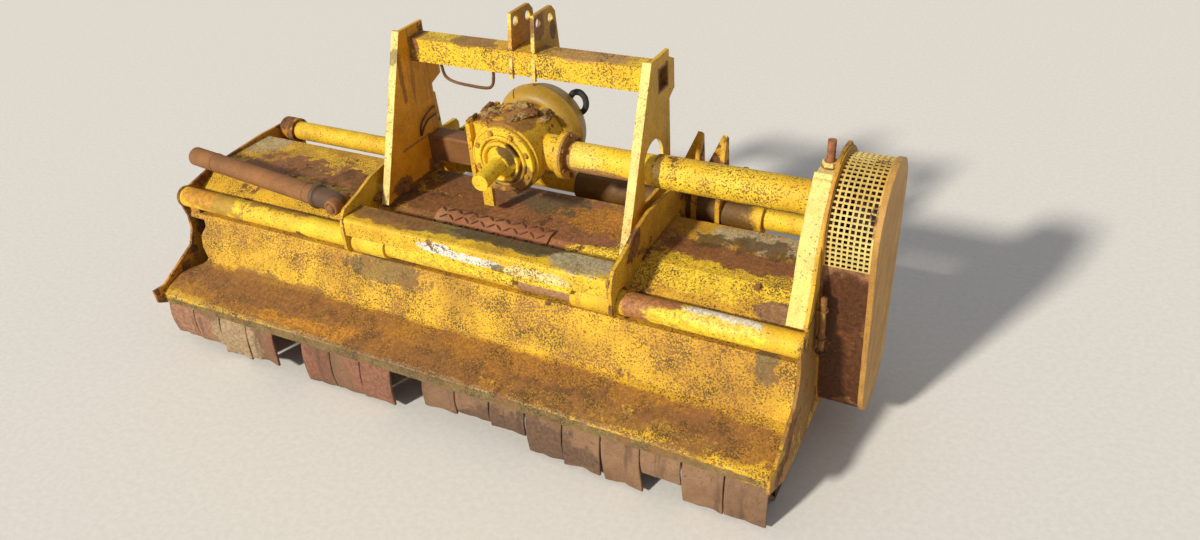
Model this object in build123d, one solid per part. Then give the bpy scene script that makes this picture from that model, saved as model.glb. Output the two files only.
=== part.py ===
from build123d import *
import os

# Tractor mulcher: a flail housing that stands on two skids and carries a hitch frame, which
# slides sideways along two guide tubes. Lengths are in millimetres, angles in degrees.
# X runs from the left end plate to the belt guard, Y runs forwards to the tractor, Z is up.
# Until the last step, X = 0 is midway between the end plates, Y = 0 is the near guide tube
# and Z = 0 is the ground.

# Housing
housing_width = 1808
end_plate_t = 8
sheet_t = 6
near_z = 389
far_y = 423
far_z = 417
guide_r = 28.5
guide_wall = 5
hood_z = 430
hood_near_y = 126
hood_far_y = 334
valley_y = 34
valley_depth = 44
apron_top_y = -8
seam_y = 12
apron_bend_y = -50
apron_bend_z = 212
lip_y = -178
lip_z = 169
lip_drop = 32
front_lip_y = 452
front_lip_z = 330
front_lip_drop = 34
plate_near_y = -200
plate_far_y = 480
plate_lift = 146
plate_low = 77
disc_rim = 2
skid_near_y = -80
skid_far_y = 380
skid_t = 8
skid_w = 42
skid_in = 12
skid_web = 8
skid_turn = 77
skid_turn_y = 66
rail_low = 64
rail_top = 92

# Where the apron's left end is torn away: (distance in from the end plate, height)
apron_tear = [
    (0, 190),
    (52, 206),
    (64, 222),
    (44, 250),
    (40, 282),
    (60, 312),
    (54, 330),
    (0, 330),
]

# The near tube's bracket and the far tube's clamp at the left end
gusset_w = 40
clamp_w = 50
clamp_wall = 9

# Foot plate on the hood
step_left = -102
step_right = 256
step_t = 5
step_fall = 50
step_flat = 26

# Rotor
rotor_y = 255
rotor_z = 202
drum_r = 70
drum_wall = 9
drum_end = 20
drum_gap = 12
flail_reach = 168
flail_t = 16
flail_w = 60
lug_t = 8
lug_w = 40
lug_height = 34
stations = 14
station_turn = 75
journal_r = 22.5
journal_play = 0.3
bearing_r = 62
bearing_t = 28

# Drive at the right end
drive_y = 245
drive_z = 599
shaft_in = 16
tower_top = 743
tower_flange_w = 38
tower_flange_t = 10
flange_folds = 8

# The drive tower's near edge, from the near guide tube up: (y, share of its height over the tube)
tower_line = [
    (6, 0.107),
    (40, 0.314),
    (58, 0.525),
    (76, 0.624),
    (96, 0.723),
    (112, 0.788),
    (132, 0.856),
    (148, 0.921),
    (165, 0.977),
    (205, 1),
]
tower_back = [
    (265, 0.986),
    (320, 0.85),
    (352, 0.653),
    (400, 0.144),
]
tab_drop = 48
tab_y = 138
tab_far_y = 224
bolt_in = 19
bolt_y = 200
outer_tube_r = 40
outer_tube_wall = 3
outer_tube_x = 470
guard_depth = 106
guard_sheet = 3
guard_upper_y = 211
guard_upper_z = 598
guard_upper_r = 130
guard_lower_y = 249
guard_lower_z = 187
guard_lower_r = 108
guard_lip = 12
mesh_low = 540
mesh_far_y = 300
pulley_gap = 34
pulley_w = 52
upper_pulley_r = 76
lower_pulley_r = 58
belt_t = 11
belt_play = 0.5
belt_in = 4
pulley_rim = 14
pulley_web = 16
bolt_r = 9
bolt_length = 60

# Rubber flaps: one row at the apron's lip and one at the front
flap_slots = 18
flap_t = 8
flap_gap = 3
flap_belly = 10
front_flap_low = 60

# The height of each rear flap's low edge, from the left: None where the flap is lost
rear_flap_low = [
    30, 34, 14, 30, None, 10, 12, 16, None,
    60, 66, 58, 12, 14, 10, 62, 12, 12,
]

# Hitch frame, about its own middle plane
shift_x = 100
frame_half = 382
frame_t = 10
leg_spacer = 16
spacer_high = 46
spacer_in = 20
frame_near_y = -46
frame_top = 520
hood_clear = 10
sleeve_play = 0.3
near_sleeve_wall = 6
far_sleeve_wall = 12
near_sleeve_length = 105
saddle_half = 24
far_sleeve_inner = 330
far_sleeve_start = 60
far_sleeve_reach = 580
guide_clear = 6
leg_t = 9
leg_flange = 13
leg_flange_t = 8
leg_rise = 57
leg_top_y = 255
leg_foot_y = 93
leg_far_y = 352
nose_slant = 15
arch_y = 255
arch_r = 55
arch_z = 615
arch_foot = 530
bar_size = 60
bar_wall = 6
bar_y = 318
bar_z = 798
top_ear_t = 10
top_ear_spread = 63
top_pin_r = 12.85
top_pin_rise = 94
top_pin_near = 3
top_pin_step = 57
top_pin_fall = 4
link_spread = 873
link_fork = 52
link_ear_t = 12
link_pin_r = 14.5
link_pin_y = 565
link_pin_z = 415
link_ear_top = 625
beam_near_y = -40
beam_far_y = 30
beam_top = 495
beam_wall = 8

# The legs' noses: (reach over the far edge, low end and high end over the crossbar's middle)
nose_right = (30, -62, 39)
nose_left = (43, -116, 0)

# The lower link ears' gusset: its width, its slant's drop, its rise over the far tube, its wall
gusset_reach = 36
gusset_drop = 82
gusset_rise = 66
gusset_t = 12

# One ear of the top link, round the crossbar's centre: (y, z)
top_ear_line = [
    (-38, -38),
    (90, -38),
    (92, 6),
    (84, 100),
    (68, 117),
    (-16, 117),
]

# The wire hook under the crossbar: (x from the frame's middle, z from the bar's underside)
hook_r = 4
hook_line = [
    (-268, 2),
    (-262, -40),
    (-232, -56),
    (-135, -60),
    (-114, -46),
    (-107, 2),
]

# Gearbox
gear_offset = -5
case_r = 92
case_near_y = 176
case_far_y = 315
cover_t = 14
cover_r = 84
stub_r = 21
stub_end = (7, 48, -3)
cone_length = 22
cone_r = 44
neck_r = 46
neck_flange_r = 59
neck_flange_t = 18
neck_end = 144
inner_tube_r = 36.5
inner_tube_wall = 4
inner_tube_x = 720
mount_t = 12
mount_half = 86
mount_over = 78
case_block = 76
bracket_low = 119
bracket_high = -44
bracket_t = 8
input_r = 17.5
input_play = 0.3
input_y = 400
input_grip = 60
journal_step = 1.5
journal_out = 6
foot_gap = 54
foot_w = 30
foot_t = 10
foot_z = 452
shield_neck_r = 62
shield_mouth_r = 98
shield_wall = 4
shield_far_y = 395
shield_ring = 22

# Loose shift strut
strut_r = 27
strut_over = 22
strut_gap = 55
strut_left_y = 93
strut_eye_y = 24
strut_rise = 78
strut_cap = 58
eye_r = 22
eye_length = 48
eye_pin_r = 9
strut_lug_t = 10

# Places worked out from the sizes above
left_x = -housing_width / 2
right_x = housing_width / 2
inner_left = left_x + end_plate_t
inner_right = right_x - end_plate_t
valley_z = near_z - valley_depth
sleeve_bore = guide_r + sleeve_play
near_sleeve_r = sleeve_bore + near_sleeve_wall
far_sleeve_r = sleeve_bore + far_sleeve_wall
frame_in = frame_half - frame_t
frame_low = hood_z + hood_clear
frame_left = shift_x - frame_in
frame_right = shift_x + frame_in
leg_low = frame_low + 4
leg_w = leg_t + leg_flange
leg_x = frame_right - leg_spacer - leg_w
leg_left_x = frame_left + leg_spacer
leg_top = bar_z + leg_rise
beam_low = near_z + near_sleeve_r
gear_x = shift_x + gear_offset
guard_x = right_x + guard_depth
pulley_x = right_x + pulley_gap
journal_bore = journal_r + journal_play
tab_z = tower_top - tab_drop
ear_x = top_ear_spread / 2
top_pin_z = bar_z + top_pin_rise
top_pins = [
    (bar_y + top_pin_near, top_pin_z),
    (bar_y + top_pin_near + top_pin_step, top_pin_z - top_pin_fall),
]
link_reach = link_spread / 2 + link_fork / 2 + link_ear_t
strut_left = Vector(left_x - strut_over, strut_left_y, near_z + strut_rise)
strut_eye = Vector(shift_x - frame_half - strut_gap, strut_eye_y, near_z + strut_rise)
belt_wheels = [(drive_y, drive_z), (rotor_y, rotor_z)]
guard_wheels = [(guard_upper_y, guard_upper_z), (guard_lower_y, guard_lower_z)]
centred = (Align.CENTER, Align.CENTER, Align.MIN)


def profile(points, x, thickness):
    """An outline of (y, z) points, extruded along X from x."""
    face = make_face(Polyline(*points, close=True))
    return extrude(Plane.YZ.offset(x) * face, thickness)


def rod_x(radius, x0, x1, y, z):
    """A round bar along X."""
    return Pos(x0, y, z) * Rot(0, 90, 0) * Cylinder(radius, x1 - x0, align=centred)


def rod_y(radius, y0, y1, x, z):
    """A round bar along Y."""
    return Pos(x, y0, z) * Rot(-90, 0, 0) * Cylinder(radius, y1 - y0, align=centred)


def rod_z(radius, z0, z1, x, y):
    """A round bar along Z."""
    return Pos(x, y, z0) * Cylinder(radius, z1 - z0, align=centred)


def tube_x(radius, bore, x0, x1, y, z):
    """A round tube along X."""
    return rod_x(radius, x0, x1, y, z) - rod_x(bore, x0 - 1, x1 + 1, y, z)


def block(x0, x1, y0, y1, z0, z1):
    """A box between two corners."""
    middle = Pos((x0 + x1) / 2, (y0 + y1) / 2, (z0 + z1) / 2)
    return middle * Box(x1 - x0, y1 - y0, z1 - z0)


def beside(points, distance):
    """The same folds as a line of (y, z) points, moved to its right by the distance."""
    line = [Vector(y, z) for y, z in points]
    last = len(line) - 1
    moved = []
    for i, here in enumerate(line):
        ahead = (line[min(i + 1, last)] - line[min(i, last - 1)]).normalized()
        behind = (line[max(i, 1)] - line[max(i - 1, 0)]).normalized()
        along = (ahead + behind).normalized()
        across = Vector(along.Y, -along.X)
        place = here + across * (distance / across.dot(Vector(ahead.Y, -ahead.X)))
        moved.append((place.X, place.Y))
    return moved


def bent_sheet(points, thickness, x0, x1):
    """A folded sheet whose outer face follows the (y, z) points, with its wall to their right."""
    return profile(list(points) + beside(points, thickness)[::-1], x0, x1 - x0)


def skid_line():
    """The runner's underside from the front to the back, turned up at both ends."""
    return [
        (skid_far_y + skid_turn_y, skid_turn),
        (skid_far_y, 0),
        (skid_near_y, 0),
        (skid_near_y - skid_turn_y, skid_turn),
    ]


def end_plate_outline():
    """The (y, z) outline that both end plates share."""
    return [
        (plate_near_y, plate_lift),
        (skid_near_y, plate_low),
        (skid_far_y, plate_low),
        (plate_far_y, plate_lift),
        (plate_far_y, hood_z - 10),
        (far_y, hood_z + 10),
        (hood_far_y - 17, hood_z + 13),
        (hood_near_y - 33, hood_z + 1),
        (guide_r - 20, near_z + 24),
        (-guide_r, near_z),
        (-guide_r + 11, near_z - 55),
        (apron_bend_y + 30, near_z - 96),
        (apron_bend_y + 9, apron_bend_z + 38),
        (lip_y + 14, lip_z + 16),
        (plate_near_y - 2, lip_z + 18),
    ]


def end_plate(x):
    plate = profile(end_plate_outline(), x, end_plate_t)
    plate += rod_x(guide_r + disc_rim, x, x + end_plate_t, 0, near_z)
    return plate - rod_x(journal_bore, x - 1, x + end_plate_t + 1, rotor_y, rotor_z)


def end_plate_left():
    """The left end plate, with the near tube's bracket and the clamp round the far tube."""
    plate = end_plate(left_x)
    plate += block(inner_left, inner_left + gusset_w, apron_top_y, 0, valley_z, near_z)
    plate += rod_x(guide_r + clamp_wall, inner_left, inner_left + clamp_w, far_y, far_z)
    plate -= rod_x(guide_r, inner_left, inner_left + gusset_w + 1, 0, near_z)
    return plate - rod_x(guide_r, inner_left, inner_left + clamp_w + 1, far_y, far_z)


def up_tower(points):
    """The (y, z) places for rows of (y, share of the tower's height over the near tube)."""
    return [(y, near_z + share * (tower_top - near_z)) for y, share in points]


def end_plate_right():
    tower = up_tower(tower_line + tower_back)
    plate = end_plate(inner_right) + profile(tower, inner_right, end_plate_t)
    return plate - rod_x(journal_bore, inner_right - 1, right_x + 1, drive_y, drive_z)


def tower_flange():
    """The drive tower's edge flange, with its tab and the belt's tension bolt."""
    edge = up_tower(tower_line[:flange_folds])
    left = inner_right - tower_flange_w
    flange = bent_sheet(edge, tower_flange_t, left, inner_right)
    seat = tab_z + tower_flange_t
    bolt_x = inner_right - bolt_in
    flange += block(left, inner_right, tab_y, tab_far_y, tab_z, seat)
    flange += rod_z(bolt_r, seat, seat + bolt_length, bolt_x, bolt_y)
    nut = RegularPolygon(bolt_r * 1.9, 6)
    return flange + Pos(bolt_x, bolt_y, seat) * extrude(nut, bolt_r * 1.5)


def apron():
    """The sheet behind the rotor, torn at its left end, with its lip."""
    line = [
        (lip_y, lip_z - lip_drop),
        (lip_y, lip_z),
        (apron_bend_y, apron_bend_z),
        (apron_top_y, valley_z),
        (seam_y, valley_z),
    ]
    torn = make_face(Polyline(*[(inner_left + x, z) for x, z in apron_tear], close=True))
    tear = extrude(Plane.XZ.offset(-apron_top_y) * torn, apron_top_y - lip_y)
    return bent_sheet(line, sheet_t, inner_left, inner_right) - tear


def hood():
    line = [
        (seam_y, valley_z),
        (valley_y, valley_z),
        (valley_y + 10, near_z - 2),
        (hood_near_y, hood_z),
        (hood_far_y, hood_z),
        (hood_far_y + 70, front_lip_z),
        (front_lip_y, front_lip_z),
        (front_lip_y, front_lip_z - front_lip_drop),
    ]
    return bent_sheet(line, sheet_t, inner_left, inner_right)


def skid():
    """The right runner, with its web and the rail that joins it to the end plate."""
    outer = inner_right - skid_in
    rail_near = skid_near_y + skid_in
    rail_far = skid_far_y - skid_in
    web = profile(
        [(skid_near_y, 1), (skid_far_y, 1), (rail_far, rail_top), (rail_near, rail_top)],
        outer - skid_web,
        skid_web,
    )
    rail = block(outer - skid_web, inner_right, rail_near, rail_far, rail_low, rail_top)
    return bent_sheet(skid_line(), skid_t, outer - skid_w, outer) + web + rail


def guide_tube(y, z):
    return tube_x(guide_r, guide_r - guide_wall, inner_left, inner_right, y, z)


def rear_flaps():
    """The rubber flaps behind the apron's lip: each slot's low edge, or none where it is lost."""
    pitch = (inner_right - inner_left) / flap_slots
    top = lip_z - sheet_t - 4
    strips = []
    for slot, low in enumerate(rear_flap_low):
        if low is None:
            continue
        x = inner_left + slot * pitch + flap_gap / 2
        middle = (top + low) / 2
        near = lip_y + sheet_t
        line = [(near, low), (near - flap_belly, middle), (near, lip_z - lip_drop), (near, top)]
        strips.append(bent_sheet(line, flap_t, x, x + pitch - flap_gap))
    return Compound(strips)


def front_flaps():
    """The rubber curtain on the hood's front lip."""
    pitch = (inner_right - inner_left) / flap_slots
    strips = []
    for slot in range(flap_slots):
        x = inner_left + slot * pitch + flap_gap / 2
        y = front_lip_y
        top = front_lip_z - sheet_t
        strips.append(block(x, x + pitch - flap_gap, y, y + flap_t, front_flap_low, top))
    return Compound(strips)


def wheel_loop(wheels, radii):
    """The outline round two circles, which stand at the (y, z) wheels."""
    circles = Compound([Pos(y, z) * Circle(r) for (y, z), r in zip(wheels, radii)])
    return make_hull(circles.edges())


def loop_plate(wheels, radii, x0, x1):
    return extrude(Plane.YZ.offset(x0) * wheel_loop(wheels, radii), x1 - x0)


def loop_ring(wheels, radii, wall, x0, x1):
    """A closed band round two circles, with its wall inside them."""
    inside = [r - wall for r in radii]
    return loop_plate(wheels, radii, x0, x1) - loop_plate(wheels, inside, x0 - 1, x1 + 1)


def guard_radii(extra):
    return guard_upper_r + extra, guard_lower_r + extra


def guard_back():
    plate = loop_plate(guard_wheels, guard_radii(guard_lip), right_x, right_x + guard_sheet)
    for y, z in belt_wheels:
        plate -= rod_x(journal_bore, right_x - 1, right_x + guard_sheet + 1, y, z)
    return plate


def guard_band():
    return loop_ring(guard_wheels, guard_radii(0), guard_sheet, right_x + guard_sheet, guard_x)


def guard_mesh_room():
    """The space of the band's perforated part, on its near side and its top."""
    top = guard_upper_z + guard_upper_r + 1
    near = guard_lower_y - guard_lower_r - guard_upper_r
    return block(right_x, guard_x, near, mesh_far_y, mesh_low, top)


def guard_cover():
    face = loop_plate(guard_wheels, guard_radii(0), guard_x, guard_x + guard_sheet)
    end = guard_x + guard_sheet
    return face + loop_ring(guard_wheels, guard_radii(guard_sheet), guard_sheet, end - guard_lip, end)


def drive_belts():
    over = belt_play + belt_t
    radii = (upper_pulley_r + over, lower_pulley_r + over)
    return loop_ring(belt_wheels, radii, belt_t, pulley_x + belt_in, pulley_x + pulley_w - belt_in)


def pulley(radius, y, z):
    """A pulley with a hollow in each face."""
    rim = rod_x(radius, pulley_x, pulley_x + pulley_w, y, z)
    for x in (pulley_x - 1, pulley_x + pulley_w - pulley_web + 1):
        rim -= tube_x(radius - pulley_rim, journal_r + pulley_web, x, x + pulley_web, y, z)
    return rim


def upper_pulley():
    shaft = rod_x(journal_r, right_x - shaft_in, pulley_x + 1, drive_y, drive_z)
    return pulley(upper_pulley_r, drive_y, drive_z) + shaft


def rotor_drum():
    """The flail drum with its journals and the pairs of lugs that hold the flails."""
    x0 = inner_left + drum_gap
    x1 = inner_right - drum_gap
    drum = rod_x(drum_r, x0, x1, rotor_y, rotor_z)
    drum -= rod_x(drum_r - drum_wall, x0 + drum_end, x1 - drum_end, rotor_y, rotor_z)
    body = drum + rod_x(journal_r, left_x - bearing_t, x0 + drum_end, rotor_y, rotor_z)
    body += rod_x(journal_r, x1 - drum_end, pulley_x, rotor_y, rotor_z)
    for x, turn in flail_places():
        for side in (-1, 1):
            lug_x = x + side * (flail_t + lug_t) / 2
            lug = block(-lug_t / 2, lug_t / 2, -lug_w / 2, lug_w / 2, drum_r - 8, drum_r + lug_height)
            body += Pos(lug_x, rotor_y, rotor_z) * Rot(turn, 0, 0) * lug
    return body


def flail_places():
    """Where each flail sits along X, and its turn about the drum, as two opposite spirals."""
    start = inner_left + drum_gap + 60
    pitch = (inner_right - inner_left - 2 * drum_gap - 120) / (stations - 1)
    for station in range(stations):
        yield start + station * pitch, station * station_turn
        if station < stations - 1:
            yield start + (station + 0.5) * pitch, station * station_turn + 180


def flails():
    """Hammer flails, each between its lugs, thrown out as they run."""
    foot = drum_r + 1
    shape = [
        (-flail_w / 4, foot),
        (flail_w / 4, foot),
        (flail_w / 4, foot + lug_height),
        (flail_w / 2, flail_reach - 22),
        (flail_w / 2, flail_reach - 6),
        (-flail_w / 2, flail_reach - 6),
        (-flail_w / 2, flail_reach - 22),
        (-flail_w / 4, foot + lug_height),
    ]
    hammer = profile(shape, -flail_t / 2, flail_t)
    places = flail_places()
    return Compound([Pos(x, rotor_y, rotor_z) * Rot(turn, 0, 0) * hammer for x, turn in places])


def bearing(x, reach, y, z):
    """A flanged bearing housing on the plate at x, which reaches out by its thickness."""
    wide = sorted((x, x + reach / 2))
    whole = sorted((x, x + reach))
    flange = rod_x(bearing_r, *wide, y, z) + rod_x(bearing_r * 0.7, *whole, y, z)
    return flange - rod_x(journal_bore, whole[0] - 1, whole[1] + 1, y, z)


def step_plate():
    """The foot plate, bent over the hood's near edge."""
    rise = (hood_z - near_z + 2) / (hood_near_y - valley_y - 10)
    line = [
        (hood_near_y - step_fall, hood_z - step_fall * rise),
        (hood_near_y, hood_z),
        (hood_near_y + step_flat, hood_z),
    ]
    return bent_sheet(beside(line, -step_t), step_t, step_left, step_right)


def frame_outline():
    """One side plate of the hitch frame: a saddle over the hood, from guide tube to guide tube."""
    far_low = far_z - far_sleeve_r - 4
    far_end = far_y + far_sleeve_r + 5
    return [
        (frame_near_y, near_z - 8),
        (frame_near_y + 9, near_z - 22),
        (0, near_z - 22),
        (0, near_z),
        (guide_r + guide_clear + 4, near_z),
        (50, near_z + 21),
        (hood_near_y, frame_low),
        (leg_far_y, frame_low),
        (far_y - far_sleeve_r, far_low + 20),
        (far_y - far_sleeve_r + 20, far_low),
        (far_end - 20, far_low),
        (far_end, far_low + 20),
        (far_end, far_z + 34),
        (leg_far_y + 20, frame_top - 12),
        (leg_far_y - 60, frame_top + 5),
        (165, frame_top + 14),
        (90, frame_top + 2),
        (35, frame_top - 18),
        (-24, frame_top - 33),
        (frame_near_y + 10, near_z + 84),
        (frame_near_y, near_z + 54),
    ]


def frame_plate(x):
    plate = profile(frame_outline(), x, frame_t)
    plate -= rod_x(guide_r + guide_clear, x - 1, x + frame_t + 1, 0, near_z)
    return plate - rod_x(far_sleeve_r, x - 1, x + frame_t + 1, far_y, far_z)


def frame_plate_left():
    """The left side plate, with the lug and the pin that hold the strut's eye."""
    near = strut_eye.Y + eye_length / 2
    x = shift_x - frame_half
    lug = block(strut_eye.X - 18, x, near, near + strut_lug_t, strut_eye.Z - 20, strut_eye.Z + 14)
    pin = rod_y(eye_pin_r, strut_eye.Y - eye_length / 2 - 5, near, strut_eye.X, strut_eye.Z)
    return frame_plate(x) + lug + pin


def bar_room(x0, x1, half):
    """The space of a square bar along X at the crossbar's place."""
    return block(x0, x1, bar_y - half, bar_y + half, bar_z - half, bar_z + half)


def leg(nose):
    """A leg that leans forwards: an angle of web and flange, as it stands at the right."""
    x0 = leg_x + leg_flange
    reach, low, high = nose
    nose_low = bar_z + low
    nose_high = bar_z + high
    nose_y = leg_far_y + reach
    web = profile(
        [
            (leg_foot_y, leg_low),
            (leg_far_y, leg_low),
            (leg_far_y, nose_low),
            (nose_y, nose_low + nose_slant),
            (nose_y, nose_high - nose_slant),
            (leg_far_y, nose_high),
            (leg_far_y, leg_top),
            (leg_top_y, leg_top),
        ],
        x0,
        leg_t,
    )
    near = [(leg_foot_y, leg_low), (leg_foot_y + leg_flange_t, leg_low)]
    near += [(leg_top_y + leg_flange_t, leg_top), (leg_top_y, leg_top)]
    body = web + profile(near, leg_x, leg_flange)
    return body + block(leg_x, x0, leg_far_y - leg_flange_t, leg_far_y, leg_low, nose_low)


def spacer(x):
    """The block between a leg's foot and its side plate."""
    near = leg_foot_y + spacer_in
    return block(x, x + leg_spacer, near, leg_far_y - spacer_in, leg_low, leg_low + spacer_high)


def leg_right():
    """The right leg, arched over the drive tube and open for the crossbar's end."""
    x0 = leg_x + leg_flange - 1
    x1 = leg_x + leg_w + 1
    slope = (leg_top_y - leg_foot_y) / (leg_top - leg_low)
    arch = rod_x(arch_r, x0, x1, arch_y, arch_z)
    arch += block(x0, x1, arch_y - arch_r, arch_y + arch_r, arch_foot, arch_z)
    near_y = leg_foot_y + slope * (arch_z - leg_low) + leg_flange_t
    arch &= block(x0, x1, near_y, arch_y + arch_r, arch_foot, arch_z + arch_r)
    return leg(nose_right) + spacer(leg_x + leg_w) - arch - bar_room(x0, x1, bar_size / 2)


def leg_left():
    return Pos(leg_left_x - leg_x, 0, 0) * leg(nose_left) + spacer(frame_left)


def crossbar():
    start = leg_left_x + leg_w
    end = leg_x + leg_w
    half = bar_size / 2
    return bar_room(start, end, half) - bar_room(start - 1, end + 1, half - bar_wall)


def crossbar_hook():
    """A bent wire under the crossbar."""
    under = bar_z - bar_size / 2
    wire = Polyline(*[(shift_x + x, bar_y, under + z) for x, z in hook_line])
    start = Plane(wire @ 0, z_dir=wire % 0)
    hook = sweep(start * Circle(hook_r), path=wire, transition=Transition.ROUND)
    return hook - bar_room(frame_left, frame_right, bar_size / 2)


def top_ear(x):
    """One ear of the top link, notched over the crossbar."""
    half = bar_size / 2
    ear = profile([(bar_y + y, bar_z + z) for y, z in top_ear_line], x - top_ear_t / 2, top_ear_t)
    ear -= bar_room(x - top_ear_t, x + top_ear_t, half)
    ear -= block(x - top_ear_t, x + top_ear_t, bar_y - half, bar_y + half, bar_z - 2 * half, bar_z)
    for y, z in top_pins:
        ear -= rod_x(top_pin_r, x - top_ear_t, x + top_ear_t, y, z)
    return ear


def link_ear(x):
    """One lower link ear: an upright over the far sleeve, and a foot with the pin's hole."""
    low = far_z - far_sleeve_r - 5
    ear = profile(
        [
            (far_y - far_sleeve_r + 8, low),
            (link_pin_y + 36, low),
            (link_pin_y + 44, low + 12),
            (link_pin_y + 44, link_pin_z + 26),
            (link_pin_y + 34, link_pin_z + 40),
            (far_y + 50, link_pin_z + 43),
            (far_y + 24, link_pin_z + 70),
            (far_y + 16, link_ear_top - 12),
            (far_y + 2, link_ear_top),
            (far_y - far_sleeve_r - 6, far_z + 34),
            (far_y - far_sleeve_r - 6, far_z - 20),
        ],
        x - link_ear_t / 2,
        link_ear_t,
    )
    ear -= rod_x(far_sleeve_r, x - link_ear_t, x + link_ear_t, far_y, far_z)
    return ear - rod_x(link_pin_r, x - link_ear_t, x + link_ear_t, link_pin_y, link_pin_z)


def link_ears(side):
    """The fork of one lower link: two ears on the far sleeve, each with its gusset."""
    middle = shift_x + side * link_spread / 2
    step = (link_fork + link_ear_t) / 2
    y = far_y + gusset_t
    low = far_z + gusset_rise
    shape = [
        (0, link_ear_top - 4),
        (-gusset_reach, link_ear_top - gusset_drop),
        (-gusset_reach, low),
        (0, low),
    ]
    parts = []
    for x in (middle - step, middle + step):
        face = make_face(Polyline(*[(x - link_ear_t / 2 + dx, z) for dx, z in shape], close=True))
        parts.append(link_ear(x) + extrude(Plane.XZ.offset(-y) * face, gusset_t))
    return Compound(parts)


def beam_room(x0, x1, wall):
    """The space of the beam, less a wall."""
    return block(x0, x1, beam_near_y + wall, beam_far_y - wall, beam_low + wall, beam_top - wall)


def beam():
    """The hollow beam over the near guide tube."""
    return beam_room(frame_left, frame_right, 0) - beam_room(frame_left - 1, frame_right + 1, beam_wall)


def near_sleeve(x0, x1):
    """A guide sleeve on the near tube, with its saddle up to the beam."""
    saddle = block(x0, x1, -saddle_half, saddle_half, near_z, beam_low)
    body = rod_x(near_sleeve_r, x0, x1, 0, near_z) + saddle
    return body - rod_x(sleeve_bore, x0 - 1, x1 + 1, 0, near_z)


def far_sleeve(x0, x1):
    return tube_x(far_sleeve_r, sleeve_bore, x0, x1, far_y, far_z)


def gearbox_case():
    """The bevel gear case: its side output's neck, its input shaft's bore and its foot."""
    neck_x = gear_x + neck_end - neck_flange_t
    side = gear_x - case_r
    low = drive_z - case_block
    case = rod_y(case_r, case_near_y, case_far_y, gear_x, drive_z)
    case += block(side, gear_x, case_near_y + 10, case_far_y - 10, low, drive_z + case_block)
    case += rod_x(neck_r, gear_x, neck_x, drive_y, drive_z)
    case += rod_x(neck_flange_r, neck_x, neck_x + neck_flange_t, drive_y, drive_z)
    foot = gear_x - foot_gap
    case += block(foot - foot_w, foot, case_near_y, case_near_y + foot_t, foot_z, drive_z)
    bore = input_r - journal_step + input_play
    return case - rod_y(bore, case_far_y - input_grip, case_far_y + 1, gear_x, drive_z)


def gearbox_cover():
    """The round front cover and the stub guard of the shaft that is not used."""
    face = case_near_y - cover_t
    cone = Pos(gear_x, face, drive_z) * Rot(90, 0, 0) * Cone(cone_r, stub_r + 6, cone_length, align=centred)
    cover = rod_y(cover_r, face, case_near_y, gear_x, drive_z) + cone
    root = Vector(gear_x, face + 1, drive_z)
    end = Vector(gear_x + stub_end[0], stub_end[1], drive_z + stub_end[2])
    stub = Plane(root, z_dir=end - root) * Cylinder(stub_r, (end - root).length, align=centred)
    return cover + (stub & block(gear_x - case_r, gear_x + case_r, 0, face, foot_z, drive_z + case_r))


def gearbox_mount():
    """The plate on the gearbox's left side."""
    x = gear_x - case_r - mount_t
    low = drive_z - mount_half
    return block(x, x + mount_t, case_near_y - 4, case_far_y, low, drive_z + mount_over)


def gearbox_bracket():
    """The channel from the left leg to the gearbox's mounting plate."""
    x0 = leg_left_x + leg_w
    x1 = gear_x - case_r - mount_t
    y0 = case_near_y + 12
    y1 = case_far_y - 8
    low = drive_z - bracket_low
    high = drive_z + bracket_high
    inside = block(x0 - 1, x1 + 1, y0 + bracket_t, y1 + 1, low + bracket_t, high - bracket_t)
    return block(x0, x1, y0, y1, low, high) - inside


def inner_drive_tube():
    start = gear_x + neck_end
    return tube_x(inner_tube_r, inner_tube_r - inner_tube_wall, start, inner_tube_x, drive_y, drive_z)


def outer_drive_tube():
    bore = outer_tube_r - outer_tube_wall
    return tube_x(outer_tube_r, bore, outer_tube_x, inner_right, drive_y, drive_z)


def cone_shell(r0, r1, wall, y0, y1):
    """A conical shell along Y from radius r0 at y0 to r1 at y1."""
    outer = Pos(gear_x, y0, drive_z) * Rot(-90, 0, 0) * Cone(r0, r1, y1 - y0, align=centred)
    grow = (r1 - r0) / (y1 - y0)
    inner = Pos(gear_x, y0 - 1, drive_z) * Rot(-90, 0, 0)
    inner *= Cone(r0 - wall - grow, r1 - wall + grow, y1 - y0 + 2, align=centred)
    return outer - inner


def pto_shield():
    return cone_shell(shield_neck_r, shield_mouth_r, shield_wall, case_far_y, shield_far_y)


def pto_shield_ring():
    end = shield_far_y + shield_ring
    bore = rod_y(shield_mouth_r - shield_wall, shield_far_y - 1, end + 1, gear_x, drive_z)
    return rod_y(shield_mouth_r, shield_far_y, end, gear_x, drive_z) - bore


def pto_shaft():
    """The input shaft: its journal in the case, then the part that the driveline grips."""
    step = case_far_y + journal_out
    journal = rod_y(input_r - journal_step, case_far_y - input_grip + 1, step, gear_x, drive_z)
    return journal + rod_y(input_r, step, input_y, gear_x, drive_z)


def shift_strut():
    """The strut that lies over the left end, with its eye at the frame's left plate."""
    axis = (strut_eye - strut_left).normalized()
    cap = strut_eye - axis * strut_cap
    tube = Plane(strut_left, z_dir=axis) * Cylinder(strut_r, (cap - strut_left).length, align=centred)
    nose = Plane(cap, z_dir=axis) * Cone(strut_r, eye_r * 0.8, strut_cap, align=centred)
    half = eye_length / 2
    boss = rod_y(eye_r, strut_eye.Y - half, strut_eye.Y + half, strut_eye.X, strut_eye.Z)
    hole = rod_y(eye_pin_r, strut_eye.Y - half - 30, strut_eye.Y + half + 30, strut_eye.X, strut_eye.Z)
    return tube + nose + boss - hole


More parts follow.
